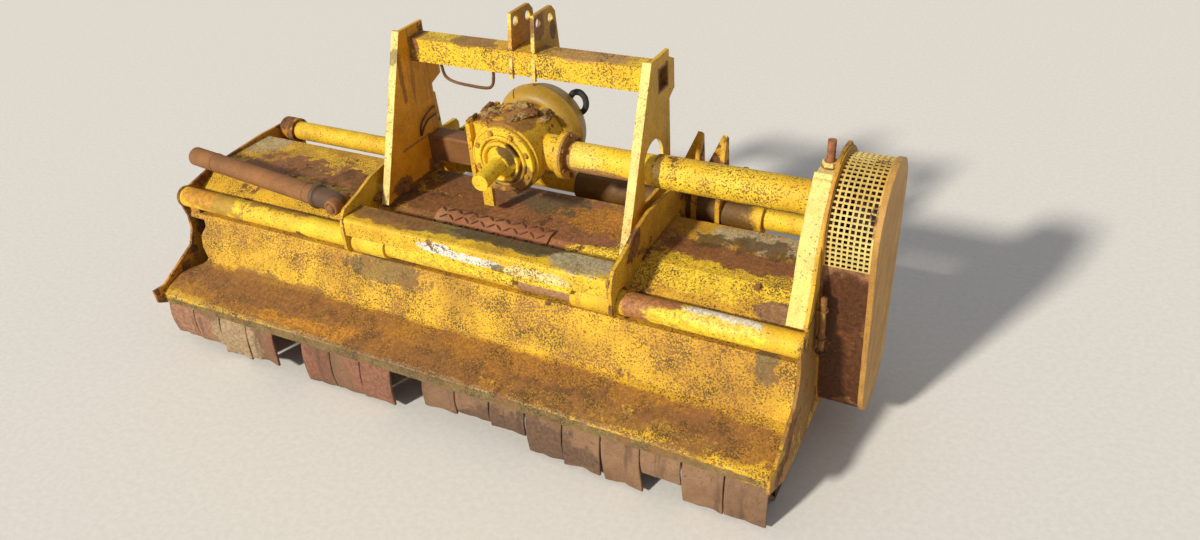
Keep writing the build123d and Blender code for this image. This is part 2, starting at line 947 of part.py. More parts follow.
pieces = {
    "end_plate_left": end_plate_left(),
    "end_plate_right": end_plate_right(),
    "tower_flange": tower_flange(),
    "apron": apron(),
    "hood": hood(),
    "skid_left": mirror(skid(), Plane.YZ),
    "skid_right": skid(),
    "near_guide_tube": guide_tube(0, near_z),
    "far_guide_tube": guide_tube(far_y, far_z),
    "step_plate": step_plate(),
    "rear_flaps": rear_flaps(),
    "front_flaps": front_flaps(),
    "bearing_left": bearing(left_x, -bearing_t, rotor_y, rotor_z),
    "outer_drive_tube": outer_drive_tube(),
    "guard_back": guard_back(),
    "guard_mesh": guard_band() & guard_mesh_room(),
    "guard_band": guard_band() - guard_mesh_room(),
    "guard_cover": guard_cover(),
    "drive_belts": drive_belts(),
    "upper_pulley": upper_pulley(),
    "lower_pulley": pulley(lower_pulley_r, rotor_y, rotor_z),
    "rotor_drum": rotor_drum(),
    "flails": flails(),
    "frame_plate_left": frame_plate_left(),
    "frame_plate_right": frame_plate(frame_right),
    "leg_right": leg_right(),
    "leg_left": leg_left(),
    "crossbar": crossbar(),
    "crossbar_hook": crossbar_hook(),
    "top_ears": Compound([top_ear(shift_x - ear_x), top_ear(shift_x + ear_x)]),
    "link_ears_left": link_ears(-1),
    "link_ears_right": link_ears(1),
    "beam": beam(),
    "near_sleeve_left": near_sleeve(frame_left, frame_left + near_sleeve_length),
    "near_sleeve_right": near_sleeve(frame_right - near_sleeve_length, frame_right),
    "far_sleeve_left": far_sleeve(shift_x - link_reach, shift_x - far_sleeve_inner),
    "far_sleeve_right": far_sleeve(shift_x + far_sleeve_start, shift_x + far_sleeve_reach),
    "gearbox_case": gearbox_case(),
    "gearbox_cover": gearbox_cover(),
    "gearbox_mount": gearbox_mount(),
    "gearbox_bracket": gearbox_bracket(),
    "inner_drive_tube": inner_drive_tube(),
    "pto_shield": pto_shield(),
    "pto_shield_ring": pto_shield_ring(),
    "pto_shaft": pto_shaft(),
    "shift_strut": shift_strut(),
}

# The origin goes under the middle of the whole machine, on the ground.
whole = Compound([piece for piece in pieces.values()]).bounding_box()
to_origin = Pos(-(whole.min.X + whole.max.X) / 2, -(whole.min.Y + whole.max.Y) / 2, 0)

os.makedirs("parts", exist_ok=True)
for name, piece in pieces.items():
    export_step(to_origin * piece, "parts/" + name + ".step")
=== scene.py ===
import math
import random

import bmesh
import bpy
from mathutils import Matrix, Vector, noise


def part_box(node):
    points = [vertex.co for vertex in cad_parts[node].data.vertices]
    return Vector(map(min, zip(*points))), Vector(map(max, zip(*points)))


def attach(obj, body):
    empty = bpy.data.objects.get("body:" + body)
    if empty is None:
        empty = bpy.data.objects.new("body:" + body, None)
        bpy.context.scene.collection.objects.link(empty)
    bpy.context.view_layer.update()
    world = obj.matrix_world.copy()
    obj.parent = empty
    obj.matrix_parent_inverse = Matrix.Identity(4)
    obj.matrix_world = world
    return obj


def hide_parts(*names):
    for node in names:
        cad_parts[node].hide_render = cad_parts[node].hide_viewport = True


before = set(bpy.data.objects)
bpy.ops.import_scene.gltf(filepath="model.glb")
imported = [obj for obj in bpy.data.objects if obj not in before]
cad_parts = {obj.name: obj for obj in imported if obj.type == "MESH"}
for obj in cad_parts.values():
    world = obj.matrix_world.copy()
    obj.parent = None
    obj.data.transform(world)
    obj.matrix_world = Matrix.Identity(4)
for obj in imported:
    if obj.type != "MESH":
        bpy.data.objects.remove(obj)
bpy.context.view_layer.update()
seeds = random.Random(7)

# Where lengths are measured from: midway between the end plates, under the near guide tube's middle
left_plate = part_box("end_plate_left")
right_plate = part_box("end_plate_right")
near_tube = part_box("near_guide_tube")
base = Vector(((left_plate[0].x + right_plate[1].x) / 2, (near_tube[0].y + near_tube[1].y) / 2, 0))

# Camera, at the photograph's place
camera_at = Vector((1.24674, -1.48186, 1.58567))
camera_right = Vector((0.892577, 0.447300, -0.056829))
camera_up = Vector((-0.205858, 0.516392, 0.831241))
camera_back = Vector((0.401160, -0.730248, 0.553000))
camera = bpy.data.objects.new("camera", bpy.data.cameras.new("camera"))
camera.data.sensor_width = 36
camera.data.lens = 27.244
turn = Matrix((camera_right, camera_up, camera_back)).transposed()
camera.matrix_world = Matrix.Translation(base + camera_at) @ turn.to_4x4()
bpy.context.scene.collection.objects.link(camera)
bpy.context.scene.camera = camera

bpy.context.scene.view_settings.view_transform = "Standard"


def at(x, y, z):
    """A point given in millimetres from base."""
    return base + Vector((x, y, z)) / 1000


# Colours, as linear values
YELLOW = (0.79, 0.47, 0.027)
PALE = (0.86, 0.67, 0.17)
LEMON = (0.88, 0.60, 0.036)
OCHRE = (0.53, 0.28, 0.026)
ORANGE = (0.58, 0.25, 0.02)
BROWN = (0.24, 0.105, 0.032)
RUST = (0.30, 0.13, 0.045)
RUST_RED = (0.33, 0.13, 0.06)
RUST_DARK = (0.085, 0.035, 0.014)
RUST_DEEP = (0.27, 0.10, 0.032)
RUST_PALE = (0.42, 0.22, 0.10)
LICHEN = (0.16, 0.125, 0.055)
LICHEN_PALE = (0.50, 0.42, 0.26)
SPECK = (0.085, 0.050, 0.014)
WHITE = (0.80, 0.77, 0.66)
STEEL = (0.34, 0.30, 0.27)
RUBBER = (0.030, 0.028, 0.026)
RUBBER_DUST = (0.27, 0.155, 0.085)
OLIVE = (0.50, 0.31, 0.045)
OLIVE_DARK = (0.33, 0.19, 0.025)
CHALK = (0.50, 0.45, 0.38)


class Tree:
    """A material's nodes, made one after another and wired by their results."""

    def __init__(self, name):
        self.material = bpy.data.materials.new(name)
        self.material.use_nodes = True
        self.nodes = self.material.node_tree.nodes
        self.links = self.material.node_tree.links
        self.shader = self.nodes["Principled BSDF"]
        self.place = self.nodes.new("ShaderNodeTexCoord").outputs["Object"]
        self.face = self.nodes.new("ShaderNodeNewGeometry").outputs["Normal"]

    def feed(self, socket, value):
        """Gives a socket a plain value, or wires another node's result to it."""
        if isinstance(value, bpy.types.NodeSocket):
            self.links.new(value, socket)
        elif isinstance(value, tuple) and len(value) == 3 and socket.type == "RGBA":
            socket.default_value = (*value, 1)
        else:
            socket.default_value = value

    def noise(self, scale, detail, rough, stretch=None, shift=0.0):
        """Noise over the object, stretched along its axes and shifted."""
        where = self.place
        if stretch or shift:
            where = self.vector("MULTIPLY", where, stretch or (1, 1, 1))
            where = self.vector("ADD", where, (shift, shift * 0.7, shift * 1.3))
        node = self.nodes.new("ShaderNodeTexNoise")
        self.links.new(where, node.inputs["Vector"])
        node.inputs["Scale"].default_value = scale
        node.inputs["Detail"].default_value = detail
        node.inputs["Roughness"].default_value = rough
        return node.outputs["Fac"]

    def vector(self, operation, a, b=None):
        """What an operation makes of one vector or two."""
        node = self.nodes.new("ShaderNodeVectorMath")
        node.operation = operation
        self.feed(node.inputs[0], a)
        if b is not None:
            self.feed(node.inputs[1], b)
        scalar = operation in ("DOT_PRODUCT", "LENGTH", "DISTANCE")
        return node.outputs["Value" if scalar else "Vector"]

    def math(self, operation, a, b=0.0):
        """What an operation makes of one number or two."""
        node = self.nodes.new("ShaderNodeMath")
        node.operation = operation
        self.feed(node.inputs[0], a)
        self.feed(node.inputs[1], b)
        return node.outputs["Value"]

    def ramp(self, value, low, high, out_low=0.0, out_high=1.0):
        """A smooth step from out_low to out_high as the value goes from low to high."""
        node = self.nodes.new("ShaderNodeMapRange")
        node.interpolation_type = "SMOOTHSTEP"
        self.feed(node.inputs["Value"], value)
        node.inputs["From Min"].default_value = low
        node.inputs["From Max"].default_value = high
        node.inputs["To Min"].default_value = out_low
        node.inputs["To Max"].default_value = out_high
        return node.outputs["Result"]

    def mix(self, share, a, b):
        """Colour a where the share is 0, and b where it is 1."""
        node = self.nodes.new("ShaderNodeMix")
        node.data_type = "RGBA"
        self.feed(node.inputs["Factor"], share)
        self.feed(node.inputs[6], a)
        self.feed(node.inputs[7], b)
        return node.outputs[2]

    def shade(self, colour, value):
        """The colour times a value."""
        node = self.nodes.new("ShaderNodeVectorMath")
        node.operation = "SCALE"
        self.feed(node.inputs[0], colour)
        self.feed(node.inputs["Scale"], value)
        return node.outputs["Vector"]

    def part(self, vector, axis):
        """One of a vector's three parts."""
        node = self.nodes.new("ShaderNodeSeparateXYZ")
        self.links.new(vector, node.inputs[0])
        return node.outputs[axis]

    def edges(self, radius):
        """How sharply the surface turns here: 0 on a flat, 1 on an edge."""
        node = self.nodes.new("ShaderNodeBevel")
        node.samples = 4
        node.inputs["Radius"].default_value = radius
        turn = self.vector("DOT_PRODUCT", node.outputs["Normal"], self.face)
        return self.ramp(turn, 0.995, 0.90)

    def blot(self, centre, radii, ragged, seed):
        """1 inside an ellipsoid with a ragged edge, 0 outside it."""
        off = self.vector("SUBTRACT", self.place, tuple(at(*centre)))
        off = self.vector("DIVIDE", off, tuple(r / 1000 for r in radii))
        wild = self.noise(15, 9.0, 0.72, shift=seed)
        wild = self.math("MULTIPLY", self.math("SUBTRACT", wild, 0.5), 3.2 * ragged)
        return self.ramp(self.math("ADD", self.vector("LENGTH", off), wild), 1.10, 0.92)


def weathered(
    name, fresh, aged, patch=RUST, patch_dark=RUST_DARK, patches=0.3, specks=0.5, streaks=0.3,
    wear=0.6, edge=RUST, dust=0.2, dust_colour=CHALK, rough=0.6, metal=0.0, marks=(), near=None,
    painted_shade_flank=None, seed=0.0,
):
    """Weathered paint, rust or rubber. patches, specks, streaks, wear and dust run from 0, none,
    to 1, all over. marks are (centre, radii, colour, ragged, strength). near is a painted sunlit
    colour for what faces -Y, and flank a painted shade colour for what faces +X."""
    t = Tree(name)
    tone = t.ramp(t.noise(3.1, 5.0, 0.6, shift=seed), 0.38, 0.62)
    colour = t.mix(tone, fresh, aged)
    # Painted light: faces towards -Y take the paler sunlit near colour, and faces towards +X take the
    # warmer flank colour as painted shade.
    if near:
        facing = t.ramp(t.part(t.face, "Y"), -0.55, -0.85, 0.0, 0.85)
        colour = t.mix(facing, colour, near)
    if painted_shade_flank:
        facing = t.ramp(t.part(t.face, "X"), 0.6, 0.9, 0.0, 0.9)
        colour = t.mix(facing, colour, painted_shade_flank)
    grain = t.noise(260, 3.0, 0.7, shift=seed)
    cloud = t.noise(17, 5.0, 0.65, shift=seed + 3)
    fine = t.ramp(grain, 0.25, 0.75, 0.84, 1.14)
    shading = t.math("MULTIPLY", fine, t.ramp(cloud, 0.3, 0.7, 0.84, 1.12))
    colour = t.shade(colour, shading)
    upright = t.ramp(t.math("ABSOLUTE", t.part(t.face, "Z")), 0.75, 0.35)
    rough_now = rough
    height = t.math("MULTIPLY", cloud, 0.35)

    for centre, radii, mark_colour, ragged, strength in marks:
        share = t.math("MULTIPLY", t.blot(centre, radii, ragged, seed + sum(centre) / 97), strength)
        mottle = t.ramp(t.noise(95, 6.0, 0.75, shift=seed + 5), 0.34, 0.66, 0.62, 1.32)
        colour = t.mix(share, colour, t.shade(mark_colour, mottle))

    if streaks:
        run = t.noise(38, 4.0, 0.6, stretch=(1, 1, 0.07), shift=seed + 2)
        run = t.math("MULTIPLY", t.ramp(run, 0.54, 0.68), t.math("MULTIPLY", upright, streaks))
        colour = t.mix(run, colour, t.shade(patch, 0.7))
    if patches:
        wild = t.noise(6.5, 9.0, 0.68, shift=seed + 1)
        limit = 0.70 - 0.32 * patches
        share = t.ramp(wild, limit, limit + 0.035)
        rusted = t.mix(t.ramp(t.noise(48, 6.0, 0.7, shift=seed), 0.35, 0.65), patch_dark, patch)
        rusted = t.mix(t.ramp(t.noise(140, 4.0, 0.7, shift=seed + 8), 0.5, 0.7, 0, 0.5), rusted, patch)
        colour = t.mix(share, colour, rusted)
        height = t.math("SUBTRACT", height, t.math("MULTIPLY", share, 0.5))
        rough_now = t.ramp(share, 0, 1, rough, 0.9)
    if specks:
        dots = t.noise(240, 3.5, 0.68, shift=seed + 4)
        crowd = t.noise(9, 6.0, 0.65, shift=seed + 6)
        limit = t.ramp(crowd, 0.32, 0.68, 0.68 - 0.10 * specks, 0.64 - 0.19 * specks)
        share = t.ramp(t.math("SUBTRACT", dots, limit), -0.005, 0.035)
        tint = t.mix(t.ramp(t.noise(24, 4.0, 0.6, shift=seed + 8), 0.4, 0.6), SPECK, t.shade(patch, 0.9))
        colour = t.mix(t.math("MULTIPLY", share, 0.92), colour, tint)
        height = t.math("ADD", height, t.math("MULTIPLY", share, 0.45))
    if wear:
        broken = t.noise(30, 5.0, 0.7, shift=seed + 7)
        worn = t.math("MULTIPLY", t.edges(0.004), t.ramp(broken, 0.62 - 0.4 * wear, 0.72))
        colour = t.mix(worn, colour, edge)
    if dust:
        top = t.ramp(t.part(t.face, "Z"), 0.55, 0.95)
        lie = t.ramp(t.noise(11, 6.0, 0.7, shift=seed + 9), 0.72 - 0.4 * dust, 0.85)
        colour = t.mix(t.math("MULTIPLY", t.math("MULTIPLY", top, lie), 0.75), colour, dust_colour)

    t.feed(t.shader.inputs["Base Color"], colour)
    t.feed(t.shader.inputs["Roughness"], rough_now)
    t.shader.inputs["Metallic"].default_value = metal
    t.shader.inputs["Specular IOR Level"].default_value = 0.35
    relief = t.nodes.new("ShaderNodeBump")
    relief.inputs["Strength"].default_value = 0.55
    relief.inputs["Distance"].default_value = 0.0022
    t.feed(relief.inputs["Height"], t.math("ADD", height, t.math("MULTIPLY", grain, 0.25)))
    t.links.new(relief.outputs["Normal"], t.shader.inputs["Normal"])
    return t.material


# Marks on the paint: centre, radii, colour, how ragged, how strong
beam_marks = [
    ((100, 16, 466), (400, 30, 14), LICHEN, 0.8, 0.92),
    ((-150, 10, 466), (130, 40, 14), BROWN, 0.7, 0.85),
    ((210, 22, 466), (170, 26, 14), (0.07, 0.055, 0.025), 0.8, 0.85),
    ((400, 0, 466), (110, 44, 14), LICHEN_PALE, 0.7, 0.85),
    ((10, -40, 448), (58, 16, 15), WHITE, 0.4, 1.0),
    ((110, -40, 440), (100, 14, 12), WHITE, 0.6, 0.95),
    ((190, -40, 434), (30, 12, 10), LICHEN, 0.9, 0.8),
    ((80, -40, 408), (330, 20, 18), LEMON, 0.5, 0.95),
    ((300, -40, 440), (90, 20, 14), (0.80, 0.66, 0.30), 0.8, 0.8),
]
near_tube_marks = [
    ((560, 0, 405), (76, 60, 60), (0.40, 0.17, 0.055), 0.35, 1.0),
    ((-60, -20, 389), (70, 60, 60), (0.36, 0.19, 0.10), 0.1, 0.9),
    ((300, -20, 389), (80, 60, 60), (0.33, 0.17, 0.10), 0.1, 0.9),
    ((-760, -10, 400), (120, 30, 30), BROWN, 1.2, 0.6),
    ((-520, 10, 410), (120, 20, 16), BROWN, 1.2, 0.7),
    ((730, -10, 412), (95, 30, 26), WHITE, 0.6, 0.8),
    ((700, -25, 395), (140, 22, 30), LEMON, 0.5, 0.9),
    ((-830, 0, 410), (60, 40, 30), ORANGE, 0.9, 0.8),
    ((-40, -10, 390), (120, 40, 60), LEMON, 0.4, 0.9),
]
hood_marks = [
    # The rust-red and brown marks over the hood's middle are partly rust and partly painted shade where the
    # legs and gearbox shade the hood.
    ((100, 210, 432), (400, 140, 60), RUST_RED, 0.5, 0.92),
    ((-150, 210, 432), (150, 140, 60), BROWN, 0.7, 0.9),
    ((150, 268, 434), (150, 46, 20), LICHEN, 1.0, 0.85),
    ((330, 250, 434), (120, 60, 20), ORANGE, 1.0, 0.8),
    ((350, 112, 420), (74, 22, 30), LEMON, 0.5, 0.95),
    ((640, 130, 422), (230, 60, 40), LEMON, 0.9, 0.75),
    ((700, 205, 428), (240, 42, 30), RUST_DEEP, 0.9, 0.95),
    ((740, 290, 434), (160, 46, 20), LICHEN_PALE, 1.6, 0.8),
    ((690, 268, 434), (120, 34, 20), SPECK, 1.8, 0.8),
    ((822, 72, 402), (48, 26, 30), (0.28, 0.15, 0.075), 0.35, 0.95),
    ((-540, 190, 432), (290, 80, 40), RUST_DEEP, 0.8, 0.95),
    ((-420, 250, 434), (190, 50, 30), YELLOW, 1.9, 0.9),
    ((-560, 130, 425), (260, 24, 30), YELLOW, 1.6, 0.8),
    ((-850, 290, 432), (70, 60, 30), LICHEN_PALE, 0.9, 0.7),
]
apron_marks = [
    ((0, -118, 188), (1150, 66, 60), (0.35, 0.15, 0.026), 0.22, 0.9),
    ((520, -150, 178), (260, 26, 30), YELLOW, 1.1, 0.75),
    ((-300, -150, 178), (300, 20, 30), ORANGE, 1.1, 0.7),
    ((830, -20, 337), (26, 60, 46), LICHEN, 1.1, 0.85),
    ((-200, -16, 320), (120, 60, 40), LICHEN, 1.3, 0.75),
    ((-620, -60, 190), (330, 90, 34), BROWN, 0.8, 0.7),
    ((-20, -120, 168), (260, 90, 22), BROWN, 0.9, 0.75),
    ((420, -120, 175), (180, 60, 18), BROWN, 0.9, 0.8),
    ((700, -110, 178), (140, 60, 22), BROWN, 0.9, 0.7),
    ((0, -180, 146), (960, 14, 20), LICHEN, 0.25, 0.9),
    ((0, -178, 170), (960, 8, 5), LICHEN_PALE, 1.1, 0.25),
]
# Painted light and shade: the left flaps are paler as if sunlit, and the flaps further right are darker as
# if in shadow.
flap_painted_light_marks = [
    ((-640, -185, 80), (90, 60, 60), (0.38, 0.27, 0.15), 0.8, 0.85),
    ((-810, -185, 90), (80, 60, 60), (0.34, 0.17, 0.10), 0.9, 0.8),
    ((-420, -185, 90), (110, 60, 70), (0.24, 0.10, 0.06), 0.7, 0.8),
    ((-150, -185, 90), (110, 60, 70), (0.26, 0.11, 0.07), 0.7, 0.8),
    ((300, -185, 60), (200, 60, 60), (0.12, 0.07, 0.045), 0.9, 0.8),
]
# Painted shade: the far sleeves are darkened where the drive tube and hood shade them.
far_sleeve_painted_shade_marks = [
    ((330, 423, 417), (380, 90, 90), RUST_DARK, 0.3, 0.9),
]
flange_marks = [
    ((877, 200, 740), (17, 17, 34), RUST_RED, 0.2, 1.0),
]
# Painted shade: the guard band's lower part is darkened where the machine's shadow falls on it.
band_painted_shade_marks = [
    ((960, 120, 300), (90, 150, 250), (0.095, 0.032, 0.009), 0.25, 1.0),
    ((960, 60, 250), (90, 60, 130), (0.16, 0.06, 0.018), 1.2, 0.7),
]
ear_marks = [
    ((131, 322, 880), (14, 26, 30), BROWN, 0.8, 0.9),
    ((68, 318, 850), (14, 30, 40), ORANGE, 1.0, 0.7),
    ((137, 384, 860), (8, 14, 24), RUST_DARK, 0.7, 0.8),
]
cover_marks = [
    ((112, 160, 618), (34, 20, 32), RUST_DARK, 0.5, 0.9),
    ((95, 160, 530), (70, 20, 24), RUST, 0.8, 0.8),
    ((150, 160, 560), (26, 20, 40), BROWN, 0.9, 0.8),
]
plate_right_marks = [
    ((905, 60, 250), (40, 170, 150), BROWN, 0.9, 0.8),
    ((905, -120, 110), (40, 90, 60), RUST_RED, 0.9, 0.7),
]
web_marks = [
    ((-234, 235, 735), (40, 9, 90), RUST_DARK, 1.3, 0.6),
    ((-234, 305, 459), (20, 26, 24), BROWN, 0.8, 0.9),
    ((-234, 160, 462), (20, 34, 26), BROWN, 0.9, 0.9),
    ((-234, 240, 440), (20, 120, 14), RUST_DARK, 0.8, 0.8),
    ((456, 170, 480), (40, 60, 60), ORANGE, 0.9, 0.6),
]
bar_marks = [
    ((475, 318, 798), (40, 60, 60), BROWN, 0.3, 0.95),
    ((-223, 318, 798), (17, 60, 60), BROWN, 0.3, 0.95),
    ((-60, 330, 829), (70, 60, 10), BROWN, 0.9, 0.8),
    ((250, 330, 829), (120, 60, 10), RUST_PALE, 0.9, 0.7),
    ((100, 288, 790), (350, 10, 30), LEMON, 0.6, 0.5),
]
case_marks = [
    ((95, 245, 690), (110, 90, 24), RUST, 1.0, 0.85),
    ((95, 200, 545), (90, 40, 40), RUST_DARK, 0.9, 0.8),
    ((236, 245, 599), (5, 66, 66), RUST, 0.5, 0.85),
]
tube_marks = [
    ((330, 215, 575), (110, 40, 16), RUST_PALE, 0.7, 0.85),
    ((247, 245, 599), (9, 66, 66), (0.36, 0.15, 0.04), 0.5, 0.9),
    ((480, 245, 590), (14, 60, 60), RUST_DARK, 0.6, 0.85),
    ((700, 245, 561), (220, 50, 14), LICHEN, 0.9, 0.8),
]

# The nodes' looks
looks = {
    "end_plate_left": weathered("left end", OCHRE, ORANGE, patches=0.62, specks=0.5, seed=1.0),
    "end_plate_right": weathered(
        "right end", YELLOW, OCHRE, patches=0.42, specks=0.55, marks=plate_right_marks, seed=2.0,
    ),
    "tower_flange": weathered(
        "tower flange", (0.86, 0.72, 0.27), PALE, patches=0.08, specks=0.3, marks=flange_marks, seed=3.0,
    ),
    "apron": weathered(
        "apron", YELLOW, OCHRE, patches=0.20, specks=1.0, streaks=0.15, dust=0.1,
        marks=apron_marks, seed=4.0,
    ),
    "hood": weathered(
        "hood", YELLOW, OCHRE, patches=0.40, specks=0.8, dust=0.3, dust_colour=LICHEN,
        marks=hood_marks, seed=5.0,
    ),
    "near_guide_tube": weathered(
        "near tube", LEMON, YELLOW, patches=0.16, specks=0.4, streaks=0.0, marks=near_tube_marks, seed=6.0,
    ),
    "far_guide_tube": weathered("far tube", LEMON, YELLOW, patches=0.2, specks=0.5, seed=7.0),
    "step_plate": weathered(
        "foot plate", RUST_RED, RUST_PALE, patch=RUST, patches=0.3, specks=0.25, dust=0.1, seed=8.0,
    ),
    "bearing_left": weathered("bearing", OCHRE, BROWN, patches=0.5, seed=9.0),
    "outer_drive_tube": weathered(
        "outer tube", LEMON, YELLOW, patches=0.22, specks=0.8, streaks=0.0, marks=tube_marks, seed=10.0,
    ),
    "inner_drive_tube": weathered(
        "inner tube", PALE, LEMON, patches=0.18, specks=0.5, streaks=0.0, marks=tube_marks, seed=11.0,
    ),
    "guard_back": weathered("guard back", ORANGE, OCHRE, patches=0.45, specks=0.4, seed=12.0),
    "guard_band": weathered(
        "guard band", RUST_PALE, RUST_RED, patches=0.3, specks=0.2, marks=band_painted_shade_marks, seed=13.0,
    ),
    "guard_cover": weathered(
        "guard cover", (0.57, 0.33, 0.09), (0.50, 0.26, 0.058), patches=0.14, specks=0.2,
        streaks=0.5, seed=14.0,
    ),
    # The legs' near colour is painted sunlight on their near flanges, and their flank colour is painted
    # shade on their +X webs.
    "leg_left": weathered(
        "left leg", YELLOW, OCHRE, patches=0.22, specks=0.3, streaks=0.6, near=(0.90, 0.74, 0.26),
        painted_shade_flank=(0.86, 0.38, 0.012), marks=web_marks, seed=15.0,
    ),
    "leg_right": weathered(
        "right leg", YELLOW, OCHRE, patches=0.14, specks=0.3, streaks=0.35, near=(0.90, 0.74, 0.26),
        painted_shade_flank=(0.74, 0.43, 0.045), marks=web_marks, seed=16.0,
    ),
    "crossbar": weathered(
        "crossbar", LEMON, YELLOW, patches=0.22, specks=0.95, streaks=0.1, dust=0.6,
        dust_colour=RUST_PALE, marks=bar_marks, seed=17.0,
    ),
    # near=PALE paints sunlight on the ears' near faces.
    "top_ears": weathered(
        "top ears", YELLOW, OCHRE, patches=0.3, specks=0.45, near=PALE, marks=ear_marks, seed=18.0,
    ),
    "beam": weathered(
        "beam", YELLOW, LEMON, patches=0.25, specks=0.6, streaks=0.1, dust=0.75,
        dust_colour=LICHEN, marks=beam_marks, seed=19.0,
    ),
    "gearbox_case": weathered(
        "gearbox", LEMON, YELLOW, patches=0.26, specks=0.4, marks=case_marks, seed=20.0,
    ),
    "gearbox_cover": weathered(
        "gearbox cover", LEMON, YELLOW, patches=0.38, specks=0.4, marks=cover_marks, seed=21.0,
    ),
    "gearbox_mount": weathered("gearbox mount", YELLOW, OCHRE, patches=0.35, specks=0.4, seed=22.0),
    # The bracket's dark brown is partly rust and partly painted shade.
    "gearbox_bracket": weathered(
        "bracket", RUST_DARK, BROWN, patches=0.3, specks=0.3, edge=RUST_PALE, seed=23.0,
    ),
    "near_sleeve_left": weathered("near sleeves", LEMON, YELLOW, patches=0.2, specks=0.4, seed=24.0),
    "far_sleeve_left": weathered(
        "far sleeves", YELLOW, OCHRE, patches=0.35, specks=0.4, marks=far_sleeve_painted_shade_marks, seed=25.0,
    ),
    "link_ears_left": weathered(
        "link ears", YELLOW, ORANGE, patches=0.42, specks=0.4, edge=RUST_DARK, seed=26.0,
    ),
    "frame_plate_left": weathered(
        "frame plates", OCHRE, YELLOW, patches=0.45, specks=0.6, wear=1.0, edge=RUST_DARK, seed=27.0,
    ),
    "crossbar_hook": weathered("wire", RUST, RUST_DARK, patches=0.3, specks=0.2, wear=0.0, seed=28.0),
    "pto_shield": weathered(
        "shield", OLIVE, OLIVE_DARK, patch=OLIVE_DARK, patch_dark=OLIVE_DARK, patches=0.12, specks=0.1,
        streaks=0.25, edge=PALE, dust=0.3, dust_colour=PALE, rough=0.42, seed=29.0,
    ),
    "pto_shield_ring": weathered(
        "rubber ring", RUBBER, (0.05, 0.045, 0.04), patch=RUBBER, patch_dark=RUBBER, patches=0.1,
        specks=0.1, edge=STEEL, dust=0.25, rough=0.7, seed=30.0,
    ),
    "pto_shaft": weathered(
        "bare shaft", STEEL, RUST, patches=0.3, specks=0.3, rough=0.4, metal=0.7, seed=31.0,
    ),
    "shift_strut": weathered(
        "strut", RUST, (0.22, 0.10, 0.04), patch=BROWN, patch_dark=RUST_DARK, patches=0.3, specks=0.25,
        streaks=0.2, dust=0.2, rough=0.75, seed=32.0,
    ),
    "skid_left": weathered(
        "skids", RUST, RUST_DARK, patch=RUST_PALE, patches=0.3, specks=0.3, edge=STEEL,
        rough=0.7, seed=33.0,
    ),
    "rotor_drum": weathered("drum", RUST_DARK, BROWN, patches=0.4, specks=0.3, rough=0.8, seed=34.0),
    "flails": weathered(
        "flails", BROWN, RUST_DARK, patches=0.4, specks=0.3, edge=STEEL, rough=0.7, seed=35.0,
    ),
    "lower_pulley": weathered(
        "pulleys", STEEL, BROWN, patches=0.4, specks=0.2, rough=0.5, metal=0.5, seed=36.0,
    ),
    "drive_belts": weathered(
        "belts", RUBBER, (0.06, 0.05, 0.04), patch=RUBBER, patch_dark=RUBBER, patches=0.1,
        specks=0.2, dust=0.2, rough=0.85, seed=37.0,
    ),
    "rear_flaps": weathered(
        "worn rubber", RUBBER_DUST, (0.20, 0.11, 0.06), marks=flap_painted_light_marks,
        patch=(0.10, 0.06, 0.04), patch_dark=(0.05, 0.04, 0.03),
        patches=0.22, specks=0.25, streaks=0.5, edge=(0.05, 0.04, 0.03), dust=0.1, rough=0.85, seed=38.0,
    ),
}
# Nodes that share another node's look
same = {
    "skid_right": "skid_left", "front_flaps": "rear_flaps", "guard_mesh": "tower_flange",
    "frame_plate_right": "frame_plate_left", "link_ears_right": "link_ears_left",
    "near_sleeve_right": "near_sleeve_left", "far_sleeve_right": "far_sleeve_left",
    "upper_pulley": "lower_pulley",
}
for name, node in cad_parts.items():
    node.data.materials.clear()
    node.data.materials.append(looks[same.get(name, name)])

# Looks of the pieces that are no node's own
bolt_look = weathered("bolts", BROWN, RUST, patch=RUST_DARK, patches=0.35, specks=0.2, rough=0.6, seed=40.0)
dark_bolt_look = weathered("dark bolts", RUST_DARK, BROWN, patches=0.2, specks=0.2, seed=45.0)
fitting_look = weathered(
    "strut fitting", (0.115, 0.062, 0.034), RUST_DARK, patch=BROWN, patches=0.2, specks=0.3,
    dust=0.0, seed=49.0,
)
bolt_paint = weathered("painted bolts", OCHRE, BROWN, patches=0.4, specks=0.3, seed=41.0)
lump_look = weathered(
    "rust lumps", RUST, BROWN, patch=OCHRE, patch_dark=LICHEN, patches=0.5, specks=0.4, rough=0.9,
    seed=42.0,
)
weld_look = weathered("welds", OCHRE, BROWN, patches=0.4, specks=0.5, seed=43.0)


def piece(name, shape, look, body, smooth=True):
    """A finished piece of the visual model, made of the shape."""
    name = name.replace(" ", "_")
    mesh = bpy.data.meshes.new(name)
    shape.to_mesh(mesh)
    shape.free()
    for face in mesh.polygons:
        face.use_smooth = smooth
    thing = bpy.data.objects.new(name, mesh)
    mesh.materials.append(look)
    bpy.context.scene.collection.objects.link(thing)
    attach(thing, body)
    return thing


# The bodies that pieces ride on
housing_body = "housing"
frame_body = "headstock"


def thicken(thing, thickness, edge=0.0):
    """Gives a sheet its thickness, and softens its edges by the edge's width in metres."""
    wall = thing.modifiers.new("wall", "SOLIDIFY")
    wall.thickness = thickness
    wall.offset = 0
    if edge:
        soft = thing.modifiers.new("soft edge", "BEVEL")
        soft.width = edge
        soft.segments = 2


def join_rings(shape, a, b):
    """Faces between two closed rings of points."""
    count = len(a)
    for k in range(count):
        shape.faces.new((a[k], a[(k + 1) % count], b[(k + 1) % count], b[k]))


def join_rows(shape, rows):
    """Faces between open rows of points, each row and the next."""
    for a, b in zip(rows, rows[1:]):
        for k in range(len(a) - 1):
            shape.faces.new((a[k], a[k + 1], b[k + 1], b[k]))


